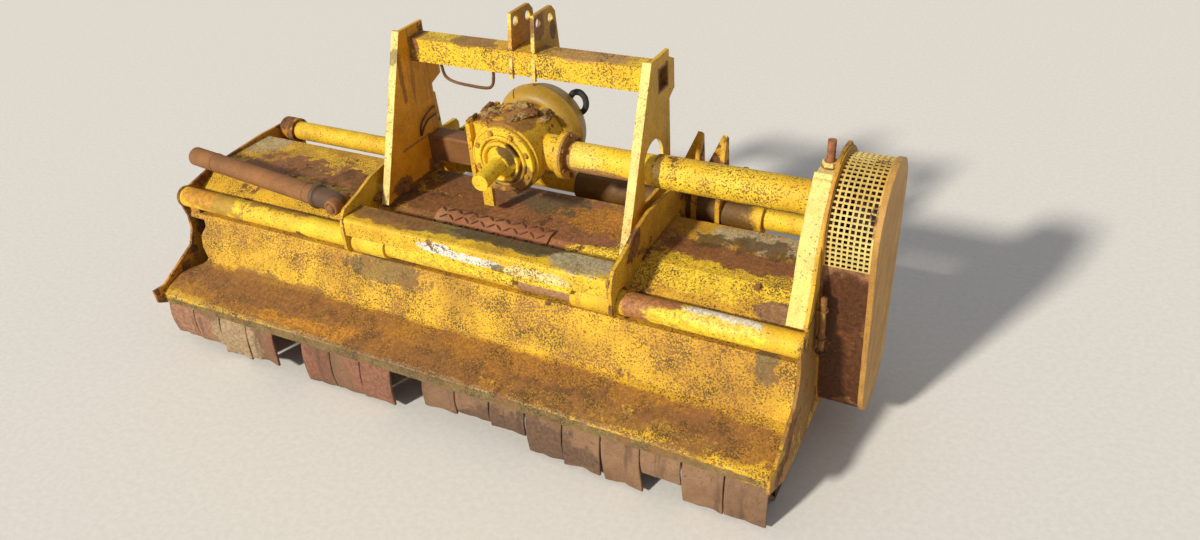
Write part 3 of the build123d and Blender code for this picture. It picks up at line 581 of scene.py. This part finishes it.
def tube_mesh(points, radius, sides=10, closed=False, rough=0.0):
    """A rod that follows the points. Its radius is in metres, and uneven if rough isn't 0."""
    shape = bmesh.new()
    rings = []
    count = len(points)
    for i, point in enumerate(points):
        before = points[i - 1] if i or closed else point
        after = points[(i + 1) % count] if i + 1 < count or closed else point
        along = (after - before).normalized()
        if rings:
            side = (side - along * side.dot(along)).normalized()
        else:
            side = along.orthogonal().normalized()
        across = along.cross(side)
        ring = []
        for k in range(sides):
            angle = 2 * math.pi * k / sides
            r = radius * (1 + rough * noise.noise(point * 160 + Vector((k, 0, 0))))
            ring.append(shape.verts.new(point + (side * math.cos(angle) + across * math.sin(angle)) * r))
        rings.append(ring)
    for i in range(count if closed else count - 1):
        join_rings(shape, rings[i], rings[(i + 1) % count])
    if not closed:
        shape.faces.new(list(reversed(rings[0])))
        shape.faces.new(rings[-1])
    bmesh.ops.recalc_face_normals(shape, faces=shape.faces)
    return shape


def spline(points, steps, closed=False):
    """Points on a smooth line through the given points."""
    count = len(points)
    spans = count if closed else count - 1
    line = []
    for i in range(spans):
        if closed:
            p = [points[(i + k - 1) % count] for k in range(4)]
        else:
            p = [points[min(max(i + k - 1, 0), count - 1)] for k in range(4)]
        for s in range(steps):
            u = s / steps
            line.append(
                (p[1] * 2 + (p[2] - p[0]) * u + (p[0] * 2 - p[1] * 5 + p[2] * 4 - p[3]) * u * u
                 + (p[1] * 3 - p[0] - p[2] * 3 + p[3]) * u ** 3) / 2
            )
    if not closed:
        line.append(points[-1])
    return line


def bolt_head(shape, centre, axis, size, turned):
    """A hexagon head with a domed top on its washer."""
    axis = axis.normalized()
    side = axis.orthogonal().normalized()
    across = axis.cross(side)

    def ring(r, height, sides, start=0.0):
        angles = [start + 2 * math.pi * k / sides for k in range(sides)]
        return [
            shape.verts.new(centre + axis * height + (side * math.cos(a) + across * math.sin(a)) * r)
            for a in angles
        ]

    washer = [
        ring(size * 1.25, -0.001, 18), ring(size * 1.25, size * 0.16, 18),
        ring(size * 1.12, size * 0.24, 18),
    ]
    for a, b in zip(washer, washer[1:]):
        join_rings(shape, a, b)
    shape.faces.new(washer[-1])
    head = [
        ring(size, size * 0.2, 6, turned), ring(size, size * 0.8, 6, turned),
        ring(size * 0.86, size * 0.95, 6, turned), ring(size * 0.4, size * 0.98, 6, turned),
    ]
    for a, b in zip(head, head[1:]):
        join_rings(shape, a, b)
    shape.faces.new(head[-1])


def bolts(name, places, axis, size, look, body):
    """Bolt heads at the places. Their axis points away from the surface, and their size is half
    their width across corners, in metres."""
    shape = bmesh.new()
    for place in places:
        bolt_head(shape, place, axis, size, seeds.uniform(0, 1))
    bmesh.ops.recalc_face_normals(shape, faces=shape.faces)
    return piece(name, shape, look, body, smooth=False)


def circle_facing_x(x, y, z, radius, count, start):
    """Points on a circle about (x, y, z) in a YZ plane, in millimetres."""
    angles = [start + 2 * math.pi * k / count for k in range(count)]
    return [at(x, y + radius * math.cos(a), z + radius * math.sin(a)) for a in angles]


# Perforated guard: square holes in the band over the upper pulley. The guard's upper and lower
# rounds are given by their centre's Y and Z and their radius.
mesh_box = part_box("guard_mesh")
guard_upper = (211, 598, 130)
guard_lower = (249, 187, 108)
mesh_far_y = 300
mesh_low_z = 540
sheet_half = 1.5
run = Vector((guard_lower[0] - guard_upper[0], guard_lower[1] - guard_upper[1]))
lean = math.atan2(run.y, run.x) - math.acos((guard_upper[2] - guard_lower[2]) / run.length)
lean %= 2 * math.pi
band_r = guard_upper[2] - sheet_half
first = math.acos((mesh_far_y - guard_upper[0]) / band_r)
outline = []
arc = lean - first
arc_steps = 92
for i in range(arc_steps + 1):
    angle = first + arc * i / arc_steps
    outline.append(Vector((
        guard_upper[0] + band_r * math.cos(angle), guard_upper[1] + band_r * math.sin(angle),
    )))
straight = run.normalized()
left_over = (mesh_low_z - outline[-1].y) / straight.y
straight_steps = 12
for i in range(1, straight_steps + 1):
    outline.append(outline[arc_steps] + straight * left_over * i / straight_steps)
lengths = [0.0]
for a, b in zip(outline, outline[1:]):
    lengths.append(lengths[-1] + (b - a).length)


def on_outline(s):
    """The point that lies s millimetres along the band's outline."""
    for i in range(len(lengths) - 1):
        if s <= lengths[i + 1]:
            u = (s - lengths[i]) / (lengths[i + 1] - lengths[i])
            return outline[i].lerp(outline[i + 1], u)
    return outline[-1]


mesh_left = (mesh_box[0].x - base.x) * 1000
mesh_right = (mesh_box[1].x - base.x) * 1000
columns = 9
hole_pitch = 11.8
rows = round(lengths[-1] / hole_pitch)
# Each cell's hole lies between the last two of these shares of its width and height
cuts = (0.0, 0.17, 0.83)
across = [mesh_left + (mesh_right - mesh_left) * (c + u) / columns for c in range(columns) for u in cuts]
across.append(mesh_right)
down = [lengths[-1] * (r + u) / rows for r in range(rows) for u in cuts] + [lengths[-1]]
grid = bmesh.new()
corners = [[grid.verts.new(at(x, *on_outline(s))) for x in across] for s in down]
for j in range(len(down) - 1):
    for i in range(len(across) - 1):
        if i % 3 == 1 and j % 3 == 1:
            continue
        grid.faces.new((corners[j][i], corners[j][i + 1], corners[j + 1][i + 1], corners[j + 1][i]))
bmesh.ops.recalc_face_normals(grid, faces=grid.faces)
mesh_look = weathered(
    "guard mesh", (0.72, 0.55, 0.18), OCHRE, patch=RUST_PALE, patches=0.5, specks=0.2, streaks=0.0,
    wear=0.0, dust=0.0, seed=44.0,
)
guard = piece("perforated guard", grid, mesh_look, housing_body, smooth=False)
thicken(guard, 0.0026)
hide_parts("guard_mesh")

# Rubber flaps behind the lip: (low edge, how far the low corners sway to the right, how far they
# curl out); None is an empty slot
flaps = [
    (30, 0, 2), (34, 4, 6), (14, -6, 10), (30, 14, 14), None, (10, 3, 4), (12, 0, 2), (16, -4, 8), None,
    (60, 6, 10), (66, 0, 4), (58, -5, 6), (12, 2, 3), (14, 0, 12), (10, 20, 14), (62, 3, 6), (12, 0, 3),
    (12, -3, 4),
]
inner_right = 896
pitch = 2 * inner_right / len(flaps)
flap_gap = 3
flap_top = 159
flap_y = -167
flap_rows = 14
flap_columns = 10
strips = bmesh.new()
for number, flap in enumerate(flaps):
    if flap is None:
        continue
    low, lean_x, curl = flap
    left = -inner_right + number * pitch + flap_gap / 2
    flap_lines = []
    for row in range(flap_rows + 1):
        v = row / flap_rows
        z = flap_top + (low - flap_top) * v
        line = []
        for column in range(flap_columns + 1):
            u = column / flap_columns
            bite = 0.0
            if row == flap_rows:
                bite = 7 * max(0.0, noise.noise(Vector((number * 3.1, u * 4.0, 0.3))))
            hang = max(0.0, v - 0.15) / 0.85
            belly = 9 * math.sin(math.pi * hang) + curl * hang ** 3 * (0.5 + 1.1 * abs(u - 0.5))
            belly += 3.5 * noise.noise(Vector((number * 1.7, u * 2.2, v * 2.4))) * hang
            sway = lean_x * hang ** 2.2
            x = left + (pitch - flap_gap) * u + sway * 0.5
            line.append(strips.verts.new(at(x, flap_y - belly, z + bite)))
        flap_lines.append(line)
    join_rows(strips, flap_lines)
bmesh.ops.recalc_face_normals(strips, faces=strips.faces)
rubber = piece("worn rubber flaps", strips, looks["rear_flaps"], housing_body)
thicken(rubber, 0.007, 0.0015)
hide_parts("rear_flaps")

# Wire hook under the crossbar
bar_y = 318
hook_points = [
    at(x, bar_y, z) for x, z in [
        (-168, 770), (-165, 746), (-158, 724), (-132, 712), (-85, 708), (-35, 708), (-16, 718), (-9, 742),
        (-7, 770),
    ]
]
hook = piece("wire hook", tube_mesh(spline(hook_points, 6), 0.004, rough=0.12),
             looks["crossbar_hook"], frame_body)
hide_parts("crossbar_hook")

# Beam: a bent channel over the guide tube, given by sections at (x, its near face's low edge). The
# near face reaches lower between the saddle plates than at them.
beam_top = 466
beam_shoulder = beam_top - 5
beam_sections = [
    (-272, 422), (-170, 422), (-123, 422), (-118, 411), (46, 411), (51, 394), (219, 394), (224, 409),
    (374, 409), (379, 422), (472, 422),
]
channel_beam = bmesh.new()
beam_columns = []
for x, low in beam_sections:
    section = [
        (-40, low), (-40, (low + beam_shoulder) / 2), (-40, beam_shoulder), (-38.5, beam_top - 1.5),
        (-35, beam_top), (0, beam_top), (31, beam_top), (34.5, beam_top - 1.5), (36, beam_shoulder),
        (36, 428),
    ]
    beam_columns.append([channel_beam.verts.new(at(x, y, z)) for y, z in section])
join_rows(channel_beam, beam_columns)
bmesh.ops.recalc_face_normals(channel_beam, faces=channel_beam.faces)
beam_piece = piece("beam channel", channel_beam, looks["beam"], frame_body, smooth=False)
thicken(beam_piece, 0.007, 0.001)
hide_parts("beam")

# Foot plate bent over the hood's near edge, with a tread of short ribs
plate_line = [(64, 401), (94, 417), (122, 431.6), (127, 433.4), (140, 433.8), (153, 433.8)]
plate_left = -104
plate_width = 336
plate_cells = 42
plate = bmesh.new()
plate_x = [plate_left + plate_width * k / plate_cells for k in range(plate_cells + 1)]
plate_rows = []
for y, z in plate_line:
    plate_rows.append([
        plate.verts.new(at(x, y, z + 0.7 * noise.noise(Vector((x / 60, y / 50, 0.4))))) for x in plate_x
    ])
join_rows(plate, plate_rows)
bmesh.ops.recalc_face_normals(plate, faces=plate.faces)
foot_plate = piece("chequered foot plate", plate, looks["step_plate"], housing_body)
thicken(foot_plate, 0.005, 0.001)
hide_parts("step_plate")
tread = bmesh.new()
slope = Vector((0, 82, 43)).normalized()
slope_up = Vector((0, -slope.z, slope.y))
rib_rows = [(142, 437.2, Vector((0, 1, 0)), Vector((0, 0, 1)))]
for down_slope in (8, 30, 52):
    spot = Vector((0, 126, 432.8)) - slope * down_slope + slope_up * 3.4
    rib_rows.append((spot.y, spot.z, slope, slope_up))
rib_pitch = 24
rib_count = 14
tread_left = -92
tread_right = 222
rib_turn = 36
# Half a rib's length, width and height, in metres
rib_length, rib_width, rib_height = 0.0125, 0.0028, 0.0034
for row, (rib_y, rib_z, along, up) in enumerate(rib_rows):
    for k in range(rib_count):
        x = tread_left + k * rib_pitch + (rib_pitch / 2 if row % 2 else 0)
        if x > tread_right:
            continue
        turned = math.radians(rib_turn if (k + row) % 2 else -rib_turn)
        rib = bmesh.ops.create_uvsphere(tread, u_segments=12, v_segments=7, radius=1.0)["verts"]
        way = Vector((math.cos(turned), 0, 0)) + along * math.sin(turned)
        side = up.cross(way)
        rib_shape = Matrix((way * rib_length, side * rib_width, up * rib_height)).transposed().to_4x4()
        bmesh.ops.transform(tread, matrix=Matrix.Translation(at(x, rib_y, rib_z)) @ rib_shape, verts=rib)
# Painted shade: the ribs are coloured darker than the plate, standing for the shadow lines beside them.
tread_painted_shade_look = weathered(
    "tread", (0.17, 0.062, 0.032), RUST_DARK, patches=0.2, specks=0.2, wear=0.0, dust=0.0, seed=48.0,
)
tread_piece = piece("foot plate tread", tread, tread_painted_shade_look, housing_body)

# The input shaft's axis is at gear_x and drive_z, and the drive tube's at drive_y and drive_z
gear_x, drive_y, drive_z = 95, 245, 599


def about_shaft(y, r, angle):
    """The point that lies r from the input shaft's axis, in millimetres."""
    return at(gear_x + r * math.cos(angle), y, drive_z + r * math.sin(angle))


# Bolts
backwards = Vector((0, -1, 0))
leftwards = Vector((-1, 0, 0))
rightwards = Vector((1, 0, 0))
upwards = Vector((0, 0, 1))
small_bolt = 0.0065
plate_bolt = 0.009
cover_y = 162
cover_bolts_r = 73
neck_x, flange_x = 221, 239
flange_bolts_r = 51
cover_ring = [about_shaft(cover_y, cover_bolts_r, 0.35 + 2 * math.pi * k / 8) for k in range(8)]
cover_bolts = bolts("cover bolts", cover_ring, backwards, small_bolt, bolt_paint, frame_body)
neck_ring = circle_facing_x(neck_x, drive_y, drive_z, flange_bolts_r, 6, 0.4)
neck_bolts = bolts("neck bolts", neck_ring, leftwards, small_bolt, bolt_look, frame_body)
tube_ring = circle_facing_x(flange_x, drive_y, drive_z, flange_bolts_r, 6, 0.4)
tube_bolts = bolts("drive tube bolts", tube_ring, rightwards, small_bolt, bolt_look, frame_body)
mount_places = [at(-9, y, z) for y in (192, 300) for z in (530, 662)]
mount_bolts = bolts("mount bolts", mount_places, leftwards, plate_bolt, bolt_look, frame_body)
rotor_y, rotor_z = 255, 202
bearing_x = -932
bearing_bolts_r = 47
bearing_ring = circle_facing_x(bearing_x, rotor_y, rotor_z, bearing_bolts_r, 4, math.pi / 4)
bearing_bolts = bolts("bearing bolts", bearing_ring, leftwards, plate_bolt, bolt_look, housing_body)
tension_nut = bolts("tension nut", [at(877, 200, 705)], upwards, 0.0145, bolt_look, housing_body)
hood_slope_up = Vector((0, -41, 82)).normalized()
hood_places = [at(762, 117, 426), at(-700, 117, 426)]
hood_bolts = bolts("hood bolts", hood_places, hood_slope_up, 0.0075, dark_bolt_look, housing_body)


def bead(name, points, radius):
    """A weld bead on the hitch frame that follows the points, given in millimetres."""
    step = 0.005
    line = []
    for a, b in zip(points, points[1:]):
        a, b = at(*a), at(*b)
        count = max(2, int((b - a).length / step))
        line += [a.lerp(b, i / count) for i in range(count)]
    line.append(at(*points[-1]))
    thing = piece(name, tube_mesh(line, radius, sides=8, rough=0.7), weld_look, frame_body)


left_web_x = -234
right_web_x = 434
for side, x in (("left", left_web_x), ("right", right_web_x)):
    bead("crossbar weld " + side, [(x, 288, 768), (x, 288, 828), (x, 348, 828)], 0.0035)
for side, x in (("left", -271), ("right", 471)):
    bead("beam weld " + side, [(x, -42, 424), (x, -42, 466), (x, 34, 468)], 0.0035)
for x in (63.5, 73.5, 126.5, 136.5):
    bead(f"ear weld {x:.0f}", [(x, 288, 829), (x, 348, 829)], 0.003)
bead("bracket weld", [(left_web_x, 188, 555), (left_web_x, 307, 555)], 0.003)


def lathe_y(name, outline, look, count=72, dent=0.0):
    """Turns the closed (y, r) outline, in millimetres, about the input shaft's axis."""
    shape = bmesh.new()
    loops = []
    for y, r in outline:
        loops.append([])
        for k in range(count):
            angle = 2 * math.pi * k / count
            bent = noise.noise(Vector((math.cos(angle) * 1.3, math.sin(angle) * 1.3, y / 40)))
            wave = r * (1 + dent * bent)
            loops[-1].append(shape.verts.new(about_shaft(y, wave, angle)))
    for a, b in zip(loops, loops[1:] + loops[:1]):
        join_rings(shape, a, b)
    bmesh.ops.recalc_face_normals(shape, faces=shape.faces)
    thing = piece(name, shape, look, frame_body)
    return thing


# The shield over the input shaft, with its crease, strap ring and rubber ring
dome_outline = [
    (310, 86), (312, 98), (317, 106), (324, 113), (333, 118.5), (345, 122), (347, 123.4), (349, 123.4),
    (351, 121.8), (360, 120.5), (372, 117.5), (384, 113.5), (396, 109), (396, 105), (372, 113),
    (350, 117), (333, 114), (320, 105),
]
dome = lathe_y("shield dome", dome_outline, looks["pto_shield"], count=96, dent=0.012)
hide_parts("pto_shield")
ring_outline = [
    (395, 84), (395, 89), (397, 91), (400, 91), (402, 88.5), (405, 88.5), (407, 91), (410, 91), (412, 88.5),
    (414, 88.5), (416, 89), (417, 87), (417, 84),
]
crease = []
for y, r in (
    (316, 105), (324, 113), (333, 118.5), (345, 122), (360, 120.5), (372, 117.5), (384, 113.5), (394, 110),
):
    angle = math.radians(118 + (y - 316) * 0.12)
    crease.append(about_shaft(y, r, angle))
crease_mesh = tube_mesh(spline(crease, 5), 0.0016, sides=8, rough=0.1)
crease_piece = piece("shield crease", crease_mesh, looks["pto_shield_ring"], frame_body)
# How far right of the shaft and above it the strap ring's middle is, and its radii, in metres
strap_right, strap_up = 0.084, 0.064
strap_wide, strap_deep, strap_high = 0.024, 0.004, 0.027
strap = []
for k in range(40):
    angle = k * math.pi / 20
    strap.append(at(gear_x, 405, drive_z) + Vector((
        strap_right + strap_wide * math.cos(angle), strap_deep * math.sin(angle),
        strap_up + strap_high * math.sin(angle),
    )))
strap_mesh = tube_mesh(strap, 0.008, sides=12, closed=True, rough=0.08)
strap_piece = piece("shield strap ring", strap_mesh, looks["pto_shield_ring"], frame_body)
rubber_ring = lathe_y(
    "shield rubber ring", ring_outline, looks["pto_shield_ring"], dent=0.01,
)
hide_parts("pto_shield_ring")

# Raised rings on the gearbox's round cover
cover_rings = {
    "cover outer ring": [
        (cover_y, 58), (157, 59), (155.5, 61), (155.5, 64), (157, 66), (cover_y, 67),
    ],
    "cover inner ring": [(cover_y, 40), (151, 44), (149, 46), (149, 50), (151, 52), (cover_y, 53)],
    "cover flange edge": [
        (cover_y, 80), (160.5, 81), (160.5, 84), (163, 85.2), (170, 85.4), (173, 84.5), (170, 80),
    ],
}
for name, ring_line in cover_rings.items():
    lathe_y(name, ring_line, looks["gearbox_cover"], dent=0.004)

# The channel behind the left leg that carries the gearbox's mounting plate
bracket_line = [(352, 484), (304, 484), (302, 486), (302, 548), (304, 550), (352, 550)]
channel_length = 229
channel_cells = 24
channel = bmesh.new()
channel_x = [left_web_x + channel_length * k / channel_cells for k in range(channel_cells + 1)]
join_rows(channel, [[channel.verts.new(at(x, y, z)) for x in channel_x] for y, z in bracket_line])
bmesh.ops.recalc_face_normals(channel, faces=channel.faces)
channel_piece = piece("gearbox channel", channel, looks["gearbox_bracket"], frame_body, smooth=False)
thicken(channel_piece, 0.008, 0.0012)
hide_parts("gearbox_bracket")


def lump(name, centre, radii, seed, look=lump_look):
    """A rough lump on the hitch frame, with its centre and radii in millimetres."""
    shape = bmesh.new()
    bmesh.ops.create_icosphere(shape, subdivisions=4, radius=1.0)
    middle = at(*centre)
    for vert in shape.verts:
        way = vert.co.copy()
        swell = 1 + 0.45 * noise.fractal(way * 1.6 + Vector((seed, 0, 0)), 0.7, 2.1, 4)
        vert.co = middle + Vector((way.x * radii[0], way.y * radii[1], way.z * radii[2])) * swell / 1000
    thing = piece(name, shape, look, frame_body)


# Rust, moss and flaked paint that lie on the gearbox and at the left leg's foot
grey_look = weathered(
    "lichen crust", (0.48, 0.34, 0.15), (0.34, 0.22, 0.08), patch=RUST, patches=0.25, specks=0.6,
    dust=0.0, rough=0.95, seed=46.0,
)
ochre_look = weathered("flaked paint", OCHRE, YELLOW, patch=RUST, patches=0.45, specks=0.4, seed=47.0)
plate_edge_x = 45
plate_top_z = 674
case_top_z = 690
case_r = 92
crust_count = 22
for number in range(crust_count):
    across_x = seeds.uniform(8, 168)
    along_y = seeds.uniform(192, 300)
    top = plate_top_z
    if across_x >= plate_edge_x:
        top = drive_z + math.sqrt(case_r ** 2 - (across_x - gear_x) ** 2)
    look = (lump_look, grey_look, ochre_look, grey_look)[number % 4]
    radii = (seeds.uniform(9, 24), seeds.uniform(10, 26), seeds.uniform(4, 9))
    lump(f"crust {number}", (across_x, along_y, min(top, case_top_z)), radii, number * 1.7, look)
lump("mount plate crust 1", (-4, 200, 678), (7, 22, 8), 31.0, ochre_look)
lump("mount plate crust 2", (-4, 270, 678), (7, 26, 9), 32.0)
lump("cover drip", (95, 160, 524), (40, 7, 9), 33.0)
lump("leg foot dirt", (-264, 120, 459), (7, 40, 10), 34.0)

# Two rusty bolts at the left leg's foot, and a loop of wire round the leg's far edge
foot_places = [at(-233, 305, 459), at(-233, 164, 462)]
foot_bolts = bolts("leg foot bolts", foot_places, rightwards, 0.0125, bolt_look, frame_body)
loop = [
    at(*point) for point in [
        (-231, 268, 566), (-229, 274, 598), (-226, 300, 618), (-228, 330, 622), (-236, 349, 616),
        (-246, 351, 604), (-236, 350, 596), (-227, 330, 600), (-225, 300, 600), (-228, 282, 586),
    ]
]
loop_mesh = tube_mesh(spline(loop, 4, closed=True), 0.0026, closed=True, rough=0.15)
wire = piece("wire loop", loop_mesh, looks["crossbar_hook"], frame_body)


def on_rod(z):
    """The point of the tensioner rod's middle line at height z, in millimetres."""
    return at(919, 66 + 0.094 * (470 - z), z)


# The tensioner rod that stands beside the guard's lower band, with its nuts
rod_mesh = tube_mesh([on_rod(z) for z in range(474, 316, -6)], 0.0075, sides=12, rough=0.12)
rod_piece = piece("tensioner rod", rod_mesh, lump_look, housing_body)
nut_places = [on_rod(z) for z in (322, 360, 440)]
rod_nuts = bolts("tensioner nuts", nut_places, upwards, 0.0095, bolt_look, housing_body)

# The strut's two raised bands, its end fitting and its eye's boss
strut_free_end = at(-926, 93, 467)
strut_eye = at(-337, 24, 467)
strut_way = (strut_eye - strut_free_end).normalized()
side = strut_way.orthogonal().normalized()
other = strut_way.cross(side)
strut_r = 0.0268
for gap, thick in ((0.115, 0.0016), (0.50, 0.0015)):
    spot = strut_eye - strut_way * gap
    angles = [2 * math.pi * k / 40 for k in range(40)]
    circle = [spot + (side * math.cos(a) + other * math.sin(a)) * strut_r for a in angles]
    band_mesh = tube_mesh(circle, thick, sides=8, closed=True)
    band = piece(f"strut band {gap * 1000:.0f}", band_mesh, looks["shift_strut"], frame_body)


def turned_piece(name, start, way, outline, look):
    """Turns the (along, r) outline, in millimetres, about the line from start, and closes its ends."""
    first_side = way.orthogonal().normalized()
    second_side = way.cross(first_side)
    sides = 48
    angles = [2 * math.pi * k / sides for k in range(sides)]
    shape = bmesh.new()
    loops = []
    for along, r in outline:
        loops.append([])
        for a in angles:
            spot = way * along + first_side * r * math.cos(a) + second_side * r * math.sin(a)
            loops[-1].append(shape.verts.new(start + spot / 1000))
    for a, b in zip(loops, loops[1:]):
        join_rings(shape, a, b)
    shape.faces.new(loops[0][::-1])
    shape.faces.new(loops[-1])
    bmesh.ops.recalc_face_normals(shape, faces=shape.faces)
    thing = piece(name, shape, look, frame_body)


fitting_line = [
    (0, 27.5), (1, 31.5), (3, 33), (12, 33), (15, 31.5), (16, 28.5), (30, 28), (62, 27), (78, 26.5),
    (92, 24), (102, 18), (107, 9), (108, 0.5),
]
turned_piece("strut end", strut_eye - strut_way * 0.085, strut_way, fitting_line, fitting_look)
boss_line = [
    (-22, 21), (26, 21.5), (31, 20.5), (34, 18.5), (34, 14.5), (30, 13.5), (30, 11.8), (36, 11.2),
    (38, 9.5), (38.5, 0.5),
]
turned_piece("strut eye boss", strut_eye, backwards, boss_line, looks["shift_strut"])

# Rust at the crossbar's right end
for number, spot in enumerate(((428, 330, 830), (446, 336, 830))):
    lump(f"bar end rust {number}", spot, (11, 5, 4), 40.0 + number * 2.3, dark_bolt_look)

# A pale floor, a pale background and one lamp
reach = 40
floor_corners = [(-reach, -reach, 0), (reach, -reach, 0), (reach, reach, 0), (-reach, reach, 0)]
floor_mesh = bpy.data.meshes.new("floor")
floor_mesh.from_pydata(floor_corners, [], [(0, 1, 2, 3)])
floor = bpy.data.objects.new("floor", floor_mesh)
ground = Tree("floor")
ground.feed(ground.shader.inputs["Base Color"], ground.mix(
    ground.ramp(ground.noise(70, 5.0, 0.7), 0.35, 0.65), (0.80, 0.78, 0.74), (0.86, 0.84, 0.80),
))
ground.shader.inputs["Roughness"].default_value = 0.9
floor.data.materials.append(ground.material)
bpy.context.scene.collection.objects.link(floor)

world = bpy.data.worlds.new("world")
world.use_nodes = True
sky = world.node_tree.nodes["Background"]
sky.inputs["Color"].default_value = (0.95, 0.96, 1, 1)
sky.inputs["Strength"].default_value = 0.3
seen = world.node_tree.nodes.new("ShaderNodeBackground")
seen.inputs["Color"].default_value = (0.72, 0.70, 0.66, 1)
ray = world.node_tree.nodes.new("ShaderNodeLightPath")
either = world.node_tree.nodes.new("ShaderNodeMixShader")
shown = world.node_tree.nodes.new("ShaderNodeMath")
shown.operation = "MAXIMUM"
world.node_tree.links.new(ray.outputs["Is Camera Ray"], shown.inputs[0])
world.node_tree.links.new(ray.outputs["Is Glossy Ray"], shown.inputs[1])
world.node_tree.links.new(shown.outputs[0], either.inputs[0])
world.node_tree.links.new(sky.outputs[0], either.inputs[1])
world.node_tree.links.new(seen.outputs[0], either.inputs[2])
world.node_tree.links.new(either.outputs[0], world.node_tree.nodes["World Output"].inputs[0])
bpy.context.scene.world = world
lamp = bpy.data.lights.new("sun", "SUN")
lamp.energy = 3.7
lamp.color = (1.0, 0.94, 0.83)
lamp.angle = math.radians(5)
sun = bpy.data.objects.new("sun", lamp)
sun.rotation_euler = (math.radians(60), 0, math.radians(-21))
bpy.context.scene.collection.objects.link(sun)
